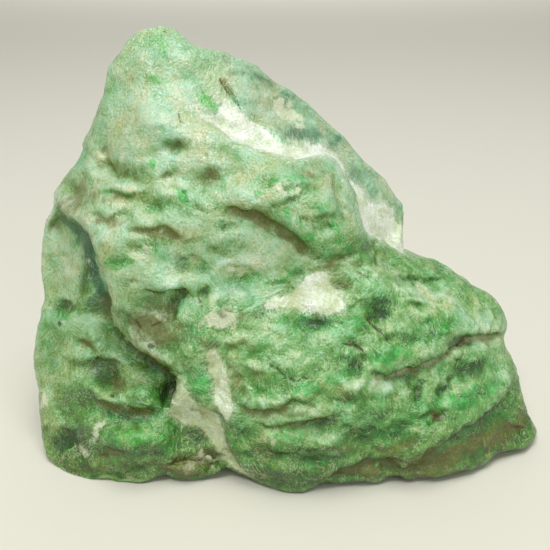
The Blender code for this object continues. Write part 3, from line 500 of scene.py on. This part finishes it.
# Deep patches: partly deep green stone, partly painted shade in hollows and under lips.
DEEP_AND_SHADE_PATCHES = [
    ((-50.6, 2), (1.8, 8.0), -8, 1.2), ((-48.4, -7), (1.8, 4.0), -25, 1.1),
    ((-53.6, 11), (1.2, 3.4), -18, 0.9), ((-46, -26.5), (6.0, 3.4), -25, 1.0),
    ((-38, -22.6), (7.0, 1.8), -38, 0.7), ((-27.6, -29), (1.4, 5.0), 10, 1.0),
    ((-34, -32), (6.0, 3.0), 0, 0.6), ((-46, -18), (6.0, 4.0), 0, 0.6),
    ((-57, -9), (3.0, 1.6), 0, 0.9), ((-56.5, -45), (4.0, 2.0), 0, 0.9),
    ((-42, -37.4), (8.0, 1.4), -12, 0.8), ((-54, -32), (4.0, 4.0), 0, 0.5),
    ((-60, -20), (2.5, 8.0), 0, 0.5), ((10, -13.5), (4.6, 1.9), 0, 0.9),
    ((28, -10.5), (3.0, 1.8), -30, 1.0), ((28.5, -7), (2.0, 1.2), 0, 0.8),
    ((20.5, -23), (3.0, 4.4), 0, 0.6), ((53, -26), (3.6, 2.0), 20, 1.0),
    ((46, -30.6), (5.0, 1.2), 42, 0.8), ((38.5, -32), (1.2, 3.4), 0, 0.8),
    ((35, -29), (3.6, 1.4), -30, 0.8), ((12, -40), (4.0, 1.6), 5, 0.9),
    ((45, -16.4), (3.0, 1.2), 20, 0.8), ((49.6, -17.6), (3.0, 1.2), 10, 0.9),
    ((35, -1.6), (5.0, 0.9), -6, 0.7), ((24, 7), (2.4, 3.0), 0, 0.7),
    ((-4, 15.4), (7.0, 1.6), -18, 0.8), ((4, 10), (6.0, 1.4), -36, 0.8),
    ((-13, 13.4), (2.4, 0.9), 20, 0.8), ((6, -0.2), (3.0, 0.9), 20, 0.6),
    ((-24, 2.6), (4.6, 2.0), -10, 0.8), ((-19.4, -5), (1.8, 2.4), 0, 0.9),
    ((-27, -8), (1.6, 5.0), -25, 0.9), ((-36, -7), (5, 3), -20, 0.5),
    ((-41, -11), (2.4, 4.0), 10, 0.8), ((-31, 10.4), (4.4, 1.8), 0, 0.8),
    ((-39, 26.6), (4.6, 1.6), -15, 0.7), ((-26.4, 34.4), (3.0, 1.4), -10, 0.7),
    ((-18, 25.8), (3.8, 2.6), 0, 0.6), ((-30, 17.6), (3.0, 1.6), 0, 0.5),
    ((7, 38), (5.5, 2.2), -8, 1.0), ((15.5, 35.6), (1.2, 3.0), -20, 0.9),
    ((2, 48), (5.0, 1.2), -20, 0.8), ((-4, 52.6), (3.0, 1.6), -30, 0.6),
    ((-10, 47), (1.6, 3.4), 30, 0.5), ((21, 29), (1.8, 4.6), 30, 0.5),
    ((31, 14), (1.2, 3.6), 20, 0.6), ((20.4, 19), (1.4, 4.0), 10, 0.6),
    ((-1, 17), (3.0, 1.2), -20, 0.6), ((5, 20), (4.0, 1.4), 30, 0.4),
    ((22, -34), (5.0, 1.6), -10, 0.4), ((30, -37), (6.0, 2.4), 10, 0.3),
    ((55, -42), (6.0, 1.6), 20, 0.4), ((-14, -43), (1.6, 4.6), 10, 0.4),
]
# Pale patches: partly paler stone, partly painted light on faces turned up to the light.
PALE_AND_LIGHT_PATCHES = [
    ((-28, 45), (16, 16), 0, 0.7), ((-44, 30), (8, 10), 0, 0.5), ((-24, 31), (12, 6), 0, 0.6),
    ((-44, 13), (8, 5), 0, 0.5), ((-10, 28), (6, 8), 0, 0.5), ((-22, 13), (8, 4), 0, 0.4),
    ((-30, 2), (8, 6), 0, 0.5), ((-6, 3), (10, 3.4), 10, 0.7), ((-2, 8), (7, 3), -20, 0.6),
    ((-12, -5.5), (6, 1.6), 0, 0.7), ((-6, 45), (12, 10), -30, 0.7),
    ((12, 36), (12, 6), -40, 0.6), ((28, 20), (5, 8), -30, 0.5), ((20, 21), (2.4, 7), 10, 0.6),
    ((41, -5), (14, 2.6), -22, 0.9), ((54, -11), (8, 3.4), -35, 0.7), ((27, 3), (4, 4), 0, 0.4),
    ((58, -18), (5, 2), 0, 0.5), ((60, -26), (3, 6), 0, 0.4), ((27, -30), (8, 2.4), -5, 0.7),
    ((16, -15), (6, 6), 0, 0.3), ((-3, -16), (8, 3.4), 0, 0.4), ((-6, -22), (6, 3), 0, 0.3),
    ((8, -22), (8, 3), 0, 0.3), ((50, -30), (4, 2), 30, 0.6), ((46, -35.5), (5, 1.6), 15, 0.6),
    ((10, -44), (8, 2), 0, 0.6), ((-3, -45.5), (6, 1.8), 0, 0.6), ((2, -38.6), (8, 1.2), 0, 0.4),
    ((-60, 12), (4, 14), 0, 0.5), ((-56, 2), (4, 5), 0, 0.6), ((-52, -12), (4, 2), 0, 0.4),
    ((-61, -40), (3, 10), 0, 0.6), ((-44, -5), (2, 6), 10, 0.3), ((-36, -43), (7, 2), 0, 0.4),
    ((-42, -52.5), (8, 2), 0, 0.4), ((-34, -10), (5, 2), 0, 0.3), ((34, -12), (8, 2), -10, 0.3),
]
# Olive patches: partly iron stain, partly painted shade under fold lips and on the undersides.
OLIVE_AND_SHADE_PATCHES = [
    ((-54.6, 19), (2.2, 7.0), -28, 1.0), ((-50, 9), (1.4, 5), -25, 0.5),
    ((-45.6, -8), (1.4, 6), -12, 0.8), ((-34, -21.6), (9.0, 1.6), -38, 1.0),
    ((-4, 14.8), (8.0, 1.8), -20, 1.1), ((4, 9.6), (6.0, 1.4), -38, 0.9),
    ((-31, 11.4), (7.0, 1.6), 0, 1.1), ((-46, 20.6), (6.0, 1.2), 0, 0.9),
    ((-45, 14.6), (6.0, 1.2), 0, 0.8), ((-40, 26.6), (5.0, 1.4), -20, 0.7),
    ((-26.4, 34.6), (3.0, 1.3), -10, 0.7), ((-17, 26), (4.4, 3.0), 0, 0.6),
    ((-33, -14), (6.0, 4.4), -10, 1.0), ((-20, -18), (6, 1.2), -30, 0.5),
    ((-49.5, -19.5), (4.4, 1.6), -35, 0.9), ((-41, -29), (7, 3), -15, 0.6),
    ((-42, -36), (9, 1.4), -10, 0.7), ((-24, -52), (6.0, 2.4), 0, 1.0),
    ((-21, -47.6), (7, 1.0), 0, 0.6), ((-44, -48.6), (4.0, 1.4), 0, 0.7),
    ((-11, -18.6), (5.0, 1.2), 8, 0.8), ((-11, -10.6), (5.0, 1.0), 0, 0.8),
    ((15, 3.4), (7.0, 0.9), 8, 0.8), ((17.6, -3), (2.4, 2.0), 0, 0.7),
    ((23, 5), (2, 4), 0, 0.5), ((28, 4), (1.6, 5), 0, 0.6), ((40, -25), (14, 1.0), 22, 0.7),
    ((55, -17), (8, 0.8), 10, 0.8), ((0, -36.6), (9.0, 1.4), 4, 0.9),
    ((4, -40.4), (8.0, 1.1), 2, 0.7), ((17, -31), (7, 1.6), -10, 0.6),
    ((-10, -30), (1.6, 7.0), 12, 0.7), ((-17, -24), (1.2, 7.0), 8, 0.5),
    ((20, -47.4), (8, 1.2), 4, 0.6), ((33, -46.6), (6.0, 1.8), 20, 0.8),
    ((46, -48.5), (12.0, 3.0), 20, 1.0), ((60, -42.5), (8.0, 3.4), 25, 0.9),
    ((24, -52.6), (12, 1.8), 5, 0.9), ((40, -53), (8, 2), 0, 0.9),
    ((44, -38.6), (2.0, 1.2), 0, 0.8), ((10, -36), (5, 1), 0, 0.6), ((36, -31), (4, 3), 0, 0.3),
    ((10, 27.4), (4, 1), -10, 0.7), ((-31, 27), (4, 1.0), 0, 0.5), ((-45, 30), (2.0, 6), 20, 0.4),
    ((-20, -37), (3, 1.2), -30, 0.5), ((-57, -20), (3, 4), 0, 0.3), ((-50, -52), (9, 2), 0, 0.4),
    ((-5, -27), (5, 1.4), 20, 0.5), ((16, -20), (5, 3), 0, 0.3), ((-13, 52), (4, 1.2), -50, 0.7),
    ((-20, 6), (5, 2), 0, 0.5), ((-36, 4), (4, 3), 0, 0.4), ((-48, 39), (2, 5), 0, 0.3),
]

# Rust in the cracks and at a few spots, as runs with half widths.
RUST = [
    ([(24.5, -11), (26, -13), (28, -14.5)], 0.5), ([(28, -14.5), (28.4, -14.8)], 0.9),
    ([(28.5, -15), (30, -16.6), (32, -19)], 0.35), ([(44, -38), (44.4, -38.6)], 1.0),
    ([(18, -18.5), (21, -19), (23.5, -20), (23.7, -22), (23.5, -24)], 0.4),
    ([(-37.5, -12.2), (-36, -14.6)], 0.5), ([(-33, -13.9), (-30.6, -12.5)], 0.4),
    ([(-33.4, -19), (-32.8, -19.2)], 0.9), ([(-35.4, -3.5), (-33, -4.5), (-30, -5.1)], 0.4),
    ([(-20.9, -6.4), (-19.6, -8.4)], 0.5), ([(7.4, -15), (7.7, -15.2)], 0.6),
    ([(15, -25.5), (15.2, -25.7)], 0.6), ([(-30, 65.5), (-29.7, 65.4)], 0.6),
    ([(22.4, 0.8), (24.6, -0.4)], 0.3), ([(-58.2, -12.6), (-57.8, -13.4)], 0.8),
    ([(33, -26.9), (40, -24.2), (48, -19.6), (52, -17.4)], 0.35),
    ([(-2, -23.6), (0.5, -25), (2.7, -27.5), (5.7, -28.7), (9.1, -27.7)], 0.35),
    ([(-23, -24.6), (-22.6, -24.8)], 0.6), ([(-15, 53), (-13, 50), (-9.3, 45)], 0.35),
    ([(-26, 44), (-25.5, 40)], 0.3), ([(-44, -32.5), (-43.4, -32.8)], 0.6),
]


def inside(outline, u, w):
    """Distance in millimetres to an outline, above zero inside it."""
    shape = np.array(outline + outline[:1], float)
    distance = np.abs(along_run(shape, u, w)[0])
    within = np.zeros(u.shape, bool)
    for (a, b), (c, d) in zip(shape[:-1], shape[1:]):
        if b != d:
            crosses = ((b > w) != (d > w)) & (u < (c - a) * (w - b) / (d - b) + a)
            within ^= crosses
    return np.where(within, distance, -distance)


def patches(marks):
    """How much of a stain or a colour lies on each point, 0 to about 1."""
    total = np.zeros(count)
    for centre, half_sizes, tilt, strength in marks:
        far = oval(centre, half_sizes, tilt, spread_u, spread_w)
        total = np.maximum(total, strength * np.exp(-0.7 * far**1.2))
    return total


# Patches fray by up to this much at their edges. Veins and cracks fray a quarter as much.
FRAY = 1.9
spread_u = u + FRAY * noise_over(points, 4.0, 3, 5.0)
spread_w = w + FRAY * noise_over(points, 4.0, 3, 15.0)
near_u = 0.75 * u + 0.25 * spread_u
near_w = 0.75 * w + 0.25 * spread_w
vein = np.full(count, -9.0)
for outline in VEINS:
    vein = np.maximum(vein, inside(outline, near_u, near_w))
rust = np.zeros(count)
for run, half_width in RUST:
    signed, _ = along_run(run, near_u, near_w)
    rust = np.maximum(rust, np.exp(-((signed / (0.8 * half_width)) ** 2)))
# The deep and olive patches are partly painted shade, and the pale ones partly painted light.
cream, emerald, deep, pale_and_painted_light, olive_stain_and_shade = map(patches, (CREAM, EMERALD, DEEP_AND_SHADE_PATCHES, PALE_AND_LIGHT_PATCHES, OLIVE_AND_SHADE_PATCHES))


def seam(run, offset, half_width):
    """A band that follows a run, offset to the left of its travel."""
    signed, from_end = along_run(run, near_u, near_w)
    return np.exp(-(((signed - offset) / half_width) ** 2)) * smooth_step(from_end / 4.0)


# Tan skin lies along the groove's proud lip and in the seam under the right lobe's ledge.
broken = 0.75 + 0.5 * noise_over(points, 5.0, 2, 63.0)
tan = broken * np.maximum(0.6 * seam(GROOVE, 1.0, 1.0), 0.9 * seam(RIGHT_LEDGE, -1.2, 0.7))
# An olive band just under the central fold's lip is painted shadow.
olive_stain_and_shade = np.maximum(olive_stain_and_shade, 1.1 * seam(CENTRAL_FOLD, -0.7, 1.2))
# A thin pale seam runs down the lower left lobe.
PALE_SEAM = [(-44.4, -35.5), (-46.8, -39.6), (-48.8, -43.7), (-49.7, -48.7)]
cream = np.maximum(cream, 0.85 * broken * seam(PALE_SEAM, 0.0, 1.3))
# Here dark specks and seams knot together.
KNOTTY = [((-32, -13), (8, 7), -20, 1.0), ((-26, -17), (5, 6), -20, 0.7)]
knots = patches(KNOTTY)

# Veins and stains of the sides and the back follow tilted sheets through the rock.
BACK_SHEETS = [((0.55, 0.35, 0.76), 46.0, 2.6), ((-0.35, 0.2, 0.92), 22.0, 1.6)]
back_vein = np.full(count, -9.0)
waves = 5.0 * noise_over(points, 22.0, 3, 77.0) + 1.4 * noise_over(points, 6.0, 2, 78.0)
for direction, distance, half_width in BACK_SHEETS:
    normal = np.array(direction) / np.linalg.norm(direction)
    off_sheet = np.abs(points @ normal - distance + waves)
    ragged = half_width + 2.0 * noise_over(points, 12.0, 2, 79.0)
    back_vein = np.maximum(back_vein, ragged - off_sheet)
vein = np.where(front > 0.5, vein, back_vein)
vein = eased(vein, 2)


def back_patches(size, shift, bar):
    """Stains of a size in millimetres for the sides and the back. A higher bar leaves fewer."""
    return smooth_step((noise_over(points, size, 3, shift) - bar) / 0.5)


emerald = front * emerald + (1 - front) * back_patches(11.0, 91.0, 0.1)
deep = front * deep + (1 - front) * 0.8 * back_patches(9.0, 92.0, 0.15)
pale_and_painted_light = front * pale_and_painted_light + (1 - front) * 0.7 * back_patches(16.0, 93.0, -0.1)
olive_stain_and_shade = front * olive_stain_and_shade + (1 - front) * 0.7 * back_patches(8.0, 94.0, 0.2)
cream = front * cream + (1 - front) * 0.4 * back_patches(7.0, 95.0, 0.35)
tan, knots = front * tan, front * knots
rust = front * rust + (1 - front) * 0.6 * back_patches(3.0, 96.0, 0.55)

# How hollow the skin is at each point, finely and broadly. This is painted shade: the stone is
# drawn darker, more olive and warmer in the hollows, and paler on the ridges.
near = eased(points, 6)
broad = eased(points, 30)
normals = normals_of(boulder_mesh)
painted_hollow_shade = np.sum((near - points) * normals, axis=1)
painted_basin_shade = np.sum((broad - near) * normals, axis=1)
# Skin that looks down more than its surroundings do is darker, and the stone grows darker towards
# the foot: both are painted shade.
painted_underside_shade = (eased(normals, 40) - eased(normals, 2))[:, 2]
painted_foot_shade = smooth_step((30.0 - points[:, 2]) / 28.0)

# The right and lower masses are a richer green than the upper left face.
rich = front * smooth_step(lower_right + 0.25 * noise_over(points, 15.0, 2, 33.0))
rich += (1 - front) * smooth_step(0.5 + 0.9 * noise_over(points, 30.0, 2, 34.0))
# The facet behind the long vein is a greyer green.
FACET = [
    (-17, 62), (-12, 52), (-9, 46), (-3, 39), (8, 35), (16, 33), (20, 26), (25, 19), (33, 14),
    (45, 20), (40, 45), (10, 62),
]
grey = front * smooth_step(inside(FACET, u, w) / 5.0 + 0.5)
# Proud places are rubbed to a glaze, and the groove beside the left lobe stays wet.
GLAZED = [
    ((-10.5, -3.6), (5.0, 2.4), 0, 0.9), ((-15, -12.5), (4.0, 2.6), 0, 0.9),
    ((26, -29), (4.0, 1.6), 0, 0.8), ((52, -31), (3.0, 1.6), 0, 0.8),
    ((12, -42.4), (4, 1.6), 0, 0.7), ((-21, -37.6), (4.0, 2.4), -40, 0.8),
    ((-20, -17), (6.0, 3.0), -30, 0.6), ((-30, 4.6), (4.0, 2.0), -30, 0.8),
    ((-33, 59), (2.0, 3.0), 20, 0.7),
]
WET_FROM = -14.0
WET_TO = 19.0
wet_reach = smooth_step((w - WET_FROM) / 6.0) * smooth_step((WET_TO - w) / 4.0)
wet = front * seam(GROOVE, -1.8, 1.3) * wet_reach
glaze = np.maximum(front * patches(GLAZED), wet)

FIELDS = {
    "vein": vein, "cream": cream, "emerald": emerald, "deep": deep, "pale_and_painted_light": pale_and_painted_light,
    "olive_stain_and_shade": olive_stain_and_shade, "rust": rust, "painted_hollow_shade": painted_hollow_shade, "painted_basin_shade": painted_basin_shade, "painted_underside_shade": painted_underside_shade, "rich": rich,
    "grey": grey, "wet": wet, "glaze": glaze, "painted_foot_shade": painted_foot_shade, "tan": tan, "knots": knots,
}
for name, values in FIELDS.items():
    attribute = boulder_mesh.attributes.new(name, "FLOAT", "POINT")
    attribute.data.foreach_set("value", values.astype(np.float32))
boulder_mesh.shade_smooth()

# The stone's colours, and jadeite's usual index of refraction.
WHITE_VEIN = "F4F8EC"
CREAM_VEIN = "BBC795"
# The olive stain and the deep jade also serve as painted shade.
DEEP_JADE_AND_SHADE = "1A4A08"
OLIVE_STAIN_AND_SHADE = "60590A"
TAN_SKIN = "ABB584"
RUST_STAIN = "463604"
WET_TEAL = "125F34"
CREAM_SPOT = "D6DDBC"
PALE_THREAD = "DDEAD2"
DARK_SPECK = "2C5A28"
FINE_SEAM = "4A5A18"
JADE_IOR = 1.66


def linear(colour):
    """An sRGB hex colour as linear red, green, blue and alpha."""
    shares = [int(colour[at : at + 2], 16) / 255 for at in (0, 2, 4)]
    return [s / 12.92 if s < 0.04045 else ((s + 0.055) / 1.055) ** 2.4 for s in shares] + [1.0]


# River-worn jadeite is a hard, tight felt, rubbed smooth by water and never polished. To the
# eye it is waxy: half glossy where it is glazed or wet, duller on the grain between, mottled
# from deep to pale with fine threads all through, and a little light sinks in at thin edges.
jadeite = bpy.data.materials.new("jadeite_river_worn")
jadeite.use_nodes = True
jadeite.node_tree.nodes.clear()


def add(kind, inputs=(), **settings):
    """Adds a node with its settings, and its inputs as values or as links from nodes."""
    made = jadeite.node_tree.nodes.new(kind)
    for name, value in settings.items():
        setattr(made, name, value)
    for key, value in dict(inputs).items():
        if isinstance(value, bpy.types.Node):
            value = value.outputs[0]
        if isinstance(value, bpy.types.NodeSocket):
            jadeite.node_tree.links.new(value, made.inputs[key])
        else:
            made.inputs[key].default_value = value
    return made


# Places in millimetres, then the same stirred, so that the mottle follows no straight line.
place = add(
    "ShaderNodeVectorMath",
    {0: add("ShaderNodeTexCoord").outputs["Object"], 3: 1 / MILLIMETRE},
    operation="SCALE",
)
stir = add("ShaderNodeTexNoise", {"Vector": place, "Scale": 1 / 3.5, "Detail": 3.0})
stir = stir.outputs["Color"]
stirred = add(
    "ShaderNodeVectorMath", {0: stir, 1: (2.6, 2.6, 2.6), 2: place}, operation="MULTIPLY_ADD"
)
ruffled = add(
    "ShaderNodeVectorMath", {0: stir, 1: (0.4, 0.4, 0.4), 2: place}, operation="MULTIPLY_ADD"
)

# Felted fibres: tufts about 5 mm across, each with its fibres lying its own way. A real fibre
# is under 0.1 mm wide, and these are drawn about 0.5 mm wide, so that they can be seen.
FULL_TURN = 6.3
TUFT = 5.0
grains = add("ShaderNodeTexVoronoi", {"Vector": stirred, "Scale": 1 / TUFT})
turn = add(
    "ShaderNodeVectorMath", {0: grains.outputs["Color"], 3: FULL_TURN}, operation="SCALE"
)
turned = add(
    "ShaderNodeVectorRotate", {"Vector": ruffled, "Rotation": turn}, rotation_type="EULER_XYZ"
)
drawn = add("ShaderNodeVectorMath", {0: turned, 1: (0.14, 1.0, 1.0)}, operation="MULTIPLY")

# Noises: where each lies, the size of its lumps in millimetres, its detail and roughness. The
# speckle here and the flakes below stand for crystals that are mostly finer than drawn.
NOISES = {
    "mottle": (stirred, 5.0, 4.0, 0.52),
    "clouds": (place, 14.0, 3.0, 0.5),
    "blush": (stirred, 8.0, 6.0, 0.78),
    "fibres": (drawn, 0.55, 2.0, 0.6),
    "wide_fibres": (drawn, 1.3, 2.0, 0.5),
    "speckle": (place, 0.6, 2.0, 0.6),
    "specks": (ruffled, 1.1, 3.0, 0.7),
    "flecks": (stirred, 3.5, 3.0, 0.6),
    "spots": (place, 5.0, 2.0, 0.5),
    "creases": (stirred, 2.4, 3.0, 0.55),
    "thread": (drawn, 0.9, 1.0, 0.5),
}
layers = {}
for name, (at, size, detail, rough) in NOISES.items():
    made = add(
        "ShaderNodeTexNoise",
        {"Vector": at, "Scale": 1 / size, "Detail": detail, "Roughness": rough},
    )
    layers[name] = add("ShaderNodeMath", {0: made, 1: 0.5}, operation="SUBTRACT")
flakes = add("ShaderNodeTexVoronoi", {"Vector": drawn, "Scale": 1 / 0.7})
flakes = add("ShaderNodeSeparateColor", {0: flakes.outputs["Color"]})
layers["flakes"] = add("ShaderNodeMath", {0: flakes, 1: 0.5}, operation="SUBTRACT")
layers["off_thread"] = add("ShaderNodeMath", {0: layers["thread"]}, operation="ABSOLUTE")
layers["wrinkles"] = add("ShaderNodeMath", {0: layers["creases"]}, operation="ABSOLUTE")
for name in FIELDS:
    layers[name] = add("ShaderNodeAttribute", attribute_name=name).outputs["Fac"]
layers["ripples"] = add(
    "ShaderNodeMath", {0: layers["glaze"], 1: layers["specks"]}, operation="MULTIPLY"
)
coarse_spots = add(
    "ShaderNodeMapRange", {"Value": layers["spots"], "From Min": -0.12, "From Max": 0.2}
)
layers["grain"] = add(
    "ShaderNodeMath", {0: layers["speckle"], 1: coarse_spots}, operation="MULTIPLY"
)
layers["seams"] = add(
    "ShaderNodeTexVoronoi", {"Vector": stirred, "Scale": 1 / 6.5}, feature="DISTANCE_TO_EDGE"
)

# Each mixture is a starting value and what each layer adds to it. The hollow, basin, lee and
# damp layers are painted shade wherever they stand; the deep and olive patches are partly
# painted shade, and the pale patches partly painted light.
MIXTURES = {
    # 0 is deep stone and 1 is pale
    "tone": (0.435, {
        "mottle": 0.32, "fibres": 0.38, "wide_fibres": 0.2, "clouds": 0.12, "flakes": 0.15,
        "grain": 0.5, "speckle": 0.25, "pale_and_painted_light": 0.42, "deep": -0.34, "painted_underside_shade": -0.65, "painted_hollow_shade": -0.4,
        "painted_basin_shade": -0.16, "painted_foot_shade": -0.34}),
    "seam_share": (-0.02, {"seams": -1.0, "flecks": 0.22, "pale_and_painted_light": -0.03, "knots": 0.1}),
    "thread_share": (0.0, {"off_thread": -18.0, "mottle": 2.5}),
    "speck_share": (0.0, {"specks": 1.0, "rich": 0.03, "pale_and_painted_light": -0.05, "knots": 0.14}),
    "emerald_share": (0.0, {"emerald": 1.0, "wide_fibres": 1.6, "flakes": 0.3, "flecks": 1.2}),
    # deep green, and painted shade in hollows, under overhangs and towards the foot
    "deep_and_shade_share": (0.0, {
        "deep": 1.0, "mottle": 1.4, "flakes": 0.3, "painted_hollow_shade": 0.4, "painted_underside_shade": 0.5, "painted_foot_shade": 0.35}),
    "cream_share": (0.0, {"cream": 1.0, "mottle": 1.6, "fibres": 0.8}),
    "veil": (0.0, {"vein": 1.0, "mottle": 2.4, "fibres": 6.0}),
    "edge": (0.0, {"vein": 1.0, "mottle": 2.2, "fibres": 1.0, "flakes": 0.3}),
    "white": (0.53, {
        "mottle": 1.3, "fibres": 0.8, "speckle": 0.5, "painted_foot_shade": -0.4, "olive_stain_and_shade": -0.7,
        "blush": 1.0, "pale_and_painted_light": 0.3}),
    # olive stain, and painted shade in hollows, under folds and towards the foot
    "olive_and_shade_share": (0.03, {
        "olive_stain_and_shade": 1.0, "mottle": 1.3, "wide_fibres": 1.2, "painted_hollow_shade": 0.6, "painted_underside_shade": 0.6, "painted_basin_shade": 0.2,
        "flakes": 0.2, "painted_foot_shade": 0.2, "knots": 0.3}),
    "tan_share": (0.0, {"tan": 1.0, "mottle": 1.0, "fibres": 0.8}),
    "rust_share": (0.0, {"rust": 1.0, "speckle": 1.2}),
    "cool": (0.6, {
        "blush": 3.2, "speckle": 0.8, "olive_stain_and_shade": -0.25, "painted_foot_shade": -0.55, "tan": -0.3,
        "painted_hollow_shade": -0.3, "glaze": 0.3, "deep": 0.15, "grey": 0.1}),
    "relief": (0.0, {
        "fibres": 0.3, "speckle": 1.0, "flakes": 0.1, "ripples": 4.0, "wrinkles": 3.0}),
    "roughness": (0.21, {"glaze": -0.36, "speckle": 0.2}),
}
for mixture, (total, parts) in MIXTURES.items():
    for name, weight in parts.items():
        total = add(
            "ShaderNodeMath", {0: layers[name], 1: weight, 2: total}, operation="MULTIPLY_ADD"
        )
    layers[mixture] = total

# Runs of colour, each led by a mixture. The tint warms the stone with iron here and there,
# and cools it between; where it warms the foot and the hollows, it is painted warm shade.
RUNS = {
    "soft": ("tone", {
        0.0: "39641A", 0.25: "669442", 0.5: "95BA84", 0.75: "BAD0B0", 1.0: "D6E2CC"}),
    "full": ("tone", {
        0.0: "1E500C", 0.25: "418328", 0.5: "71A95C", 0.75: "A8CA98", 1.0: "D6E4CA"}),
    "grey": ("tone", {0.0: "4A7452", 0.3: "82A27E", 0.6: "ABC09A", 1.0: "DAE0CE"}),
    "emerald": ("tone", {0.0: "0E5A14", 0.35: "1F8F2C", 0.7: "45B84A", 1.0: "8ED884"}),
    "vein": ("white", {0.2: CREAM_VEIN, 0.5: "CFDCBC", 0.85: WHITE_VEIN}),
    "tint": ("cool", {0.0: "FFE8C8", 0.5: "FAF8EE", 1.0: "D6F8F2"}),
}
colours = {}
for name, (source, stops) in RUNS.items():
    made = add("ShaderNodeValToRGB", {0: layers[source]})
    for place_of_stop in list(stops)[2:]:
        made.color_ramp.elements.new(place_of_stop)
    for element, (place_of_stop, colour) in zip(made.color_ramp.elements, stops.items()):
        element.position = place_of_stop
        element.color = linear(colour)
    colours[name] = made

# Coats of colour, each over the last: the layer that leads it, where that starts to show and
# is full, the most it covers, and its colour. The tint multiplies the stone under it, and
# the coats after it keep their own colour.
TINT = "tint"
COATS = (
    ("rich", 0.0, 1.0, 1.0, colours["full"]),
    ("grey", 0.0, 1.0, 1.0, colours["grey"]),
    ("emerald_share", 0.25, 0.8, 0.85, colours["emerald"]),
    ("thread_share", -0.6, -0.1, 0.34, linear(PALE_THREAD)),
    ("speck_share", 0.1, 0.2, 0.5, linear(DARK_SPECK)),
    ("seam_share", 0.0, 0.025, 0.4, linear(FINE_SEAM)),
    # deep green and painted shade
    ("deep_and_shade_share", 0.35, 1.1, 0.5, linear(DEEP_JADE_AND_SHADE)),
    ("wet", 0.1, 0.8, 0.75, linear(WET_TEAL)),
    TINT,
    ("cream_share", 0.35, 0.85, 0.85, linear(CREAM_SPOT)),
    ("veil", -2.0, 0.8, 0.45, colours["vein"]),
    ("edge", -0.25, 0.5, 1.0, colours["vein"]),
    # olive stain and painted shade
    ("olive_and_shade_share", 0.25, 1.1, 0.65, linear(OLIVE_STAIN_AND_SHADE)),
    ("tan_share", 0.3, 0.9, 0.75, linear(TAN_SKIN)),
    ("rust_share", 0.4, 0.75, 0.85, linear(RUST_STAIN)),
)
stone = colours["soft"]
for coat in COATS:
    if coat == TINT:
        share, colour, blend = 1.0, colours["tint"], "MULTIPLY"
    else:
        layer, low, high, most, colour = coat
        share = add(
            "ShaderNodeMapRange",
            {"Value": layers[layer], "From Min": low, "From Max": high, "To Max": most},
            interpolation_type="SMOOTHSTEP",
        )
        blend = "MIX"
    stone = add(
        "ShaderNodeMix", {0: share, 6: stone, 7: colour}, data_type="RGBA", blend_type=blend
    ).outputs[2]

bump = add(
    "ShaderNodeBump",
    {"Height": layers["relief"], "Strength": 0.9, "Distance": 0.3 * MILLIMETRE},
)
shader = add("ShaderNodeBsdfPrincipled", {
    "Base Color": stone, "Roughness": layers["roughness"], "IOR": JADE_IOR, "Normal": bump,
    "Subsurface Weight": 0.1, "Subsurface Radius": (1.0, 1.0, 0.8),
    "Subsurface Scale": 0.8 * MILLIMETRE,
    "Coat Weight": 0.05, "Coat Roughness": 0.12, "Coat IOR": 1.45, "Specular IOR Level": 0.5,
})
add("ShaderNodeOutputMaterial", {"Surface": shader})
boulder_mesh.materials.clear()
boulder_mesh.materials.append(jadeite)

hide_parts("jade_boulder")
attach(boulder, "root")

# --- Floor ---
# A flat sheet of pale card, far wider than the view, laid under the boulder. Matt card has no
# shine of its own, so the eye gets an even pale ground with one soft shadow on it.

FLOOR_HALF_WIDTH = 4.0

floor_mesh = bpy.data.meshes.new("pale_floor")
card = bmesh.new()
bmesh.ops.create_grid(card, x_segments=1, y_segments=1, size=FLOOR_HALF_WIDTH)
card.to_mesh(floor_mesh)
card.free()
floor = bpy.data.objects.new("pale_floor", floor_mesh)
bpy.context.scene.collection.objects.link(floor)
paper = bpy.data.materials.new("matt_card")
paper.use_nodes = True
paper.node_tree.nodes["Principled BSDF"].inputs["Base Color"].default_value = linear("DAD7C9")
paper.node_tree.nodes["Principled BSDF"].inputs["Roughness"].default_value = 0.8
floor_mesh.materials.append(paper)

# --- Light and camera ---
# A pale room lights the stone from all round. A wide softbox above gives the broad light and
# a small lamp at the upper left the glints. A weak box fills in from the right, and one far
# behind the stone evens out the floor.

world = bpy.data.worlds.new("soft_room")
bpy.context.scene.world = world
world.use_nodes = True
world.node_tree.nodes["Background"].inputs["Color"].default_value = linear("EFF2EF")
world.node_tree.nodes["Background"].inputs["Strength"].default_value = 0.48


def softbox(name, place, aim, size, watts):
    """Hangs a flat light at a place, turned to what it aims at, all in metres."""
    lamp = bpy.data.lights.new(name, "AREA")
    lamp.shape = "RECTANGLE"
    lamp.size, lamp.size_y = size
    lamp.energy = watts
    holder = bpy.data.objects.new(name, lamp)
    holder.location = place
    holder.rotation_euler = (Vector(aim) - Vector(place)).to_track_quat("-Z", "Y").to_euler()
    bpy.context.scene.collection.objects.link(holder)


softbox("key", (0.1, -0.2, 1.3), (0, 0, 0.04), (0.8, 0.8), 8.9)
softbox("lamp", (-0.25, -0.45, 0.8), (0, 0, 0.04), (0.16, 0.16), 2.6)
softbox("back", (0, 2.4, 1.2), (0, 2.4, 0), (2.0, 1.0), 12.0)
softbox("fill", (0.35, -0.6, 0.4), (0, 0, 0.04), (0.5, 0.4), 0.7)

lens = bpy.data.cameras.new("camera")
lens.lens = 48.5
lens.sensor_width = 36.0
camera = bpy.data.objects.new("camera", lens)
camera.location = EYE * MILLIMETRE
camera.rotation_euler = (math.radians(90) - SIGHT_DOWN, 0.0, 0.0)
bpy.context.scene.collection.objects.link(camera)
bpy.context.scene.camera = camera
bpy.context.scene.view_settings.view_transform = "Standard"

bpy.context.view_layer.update()
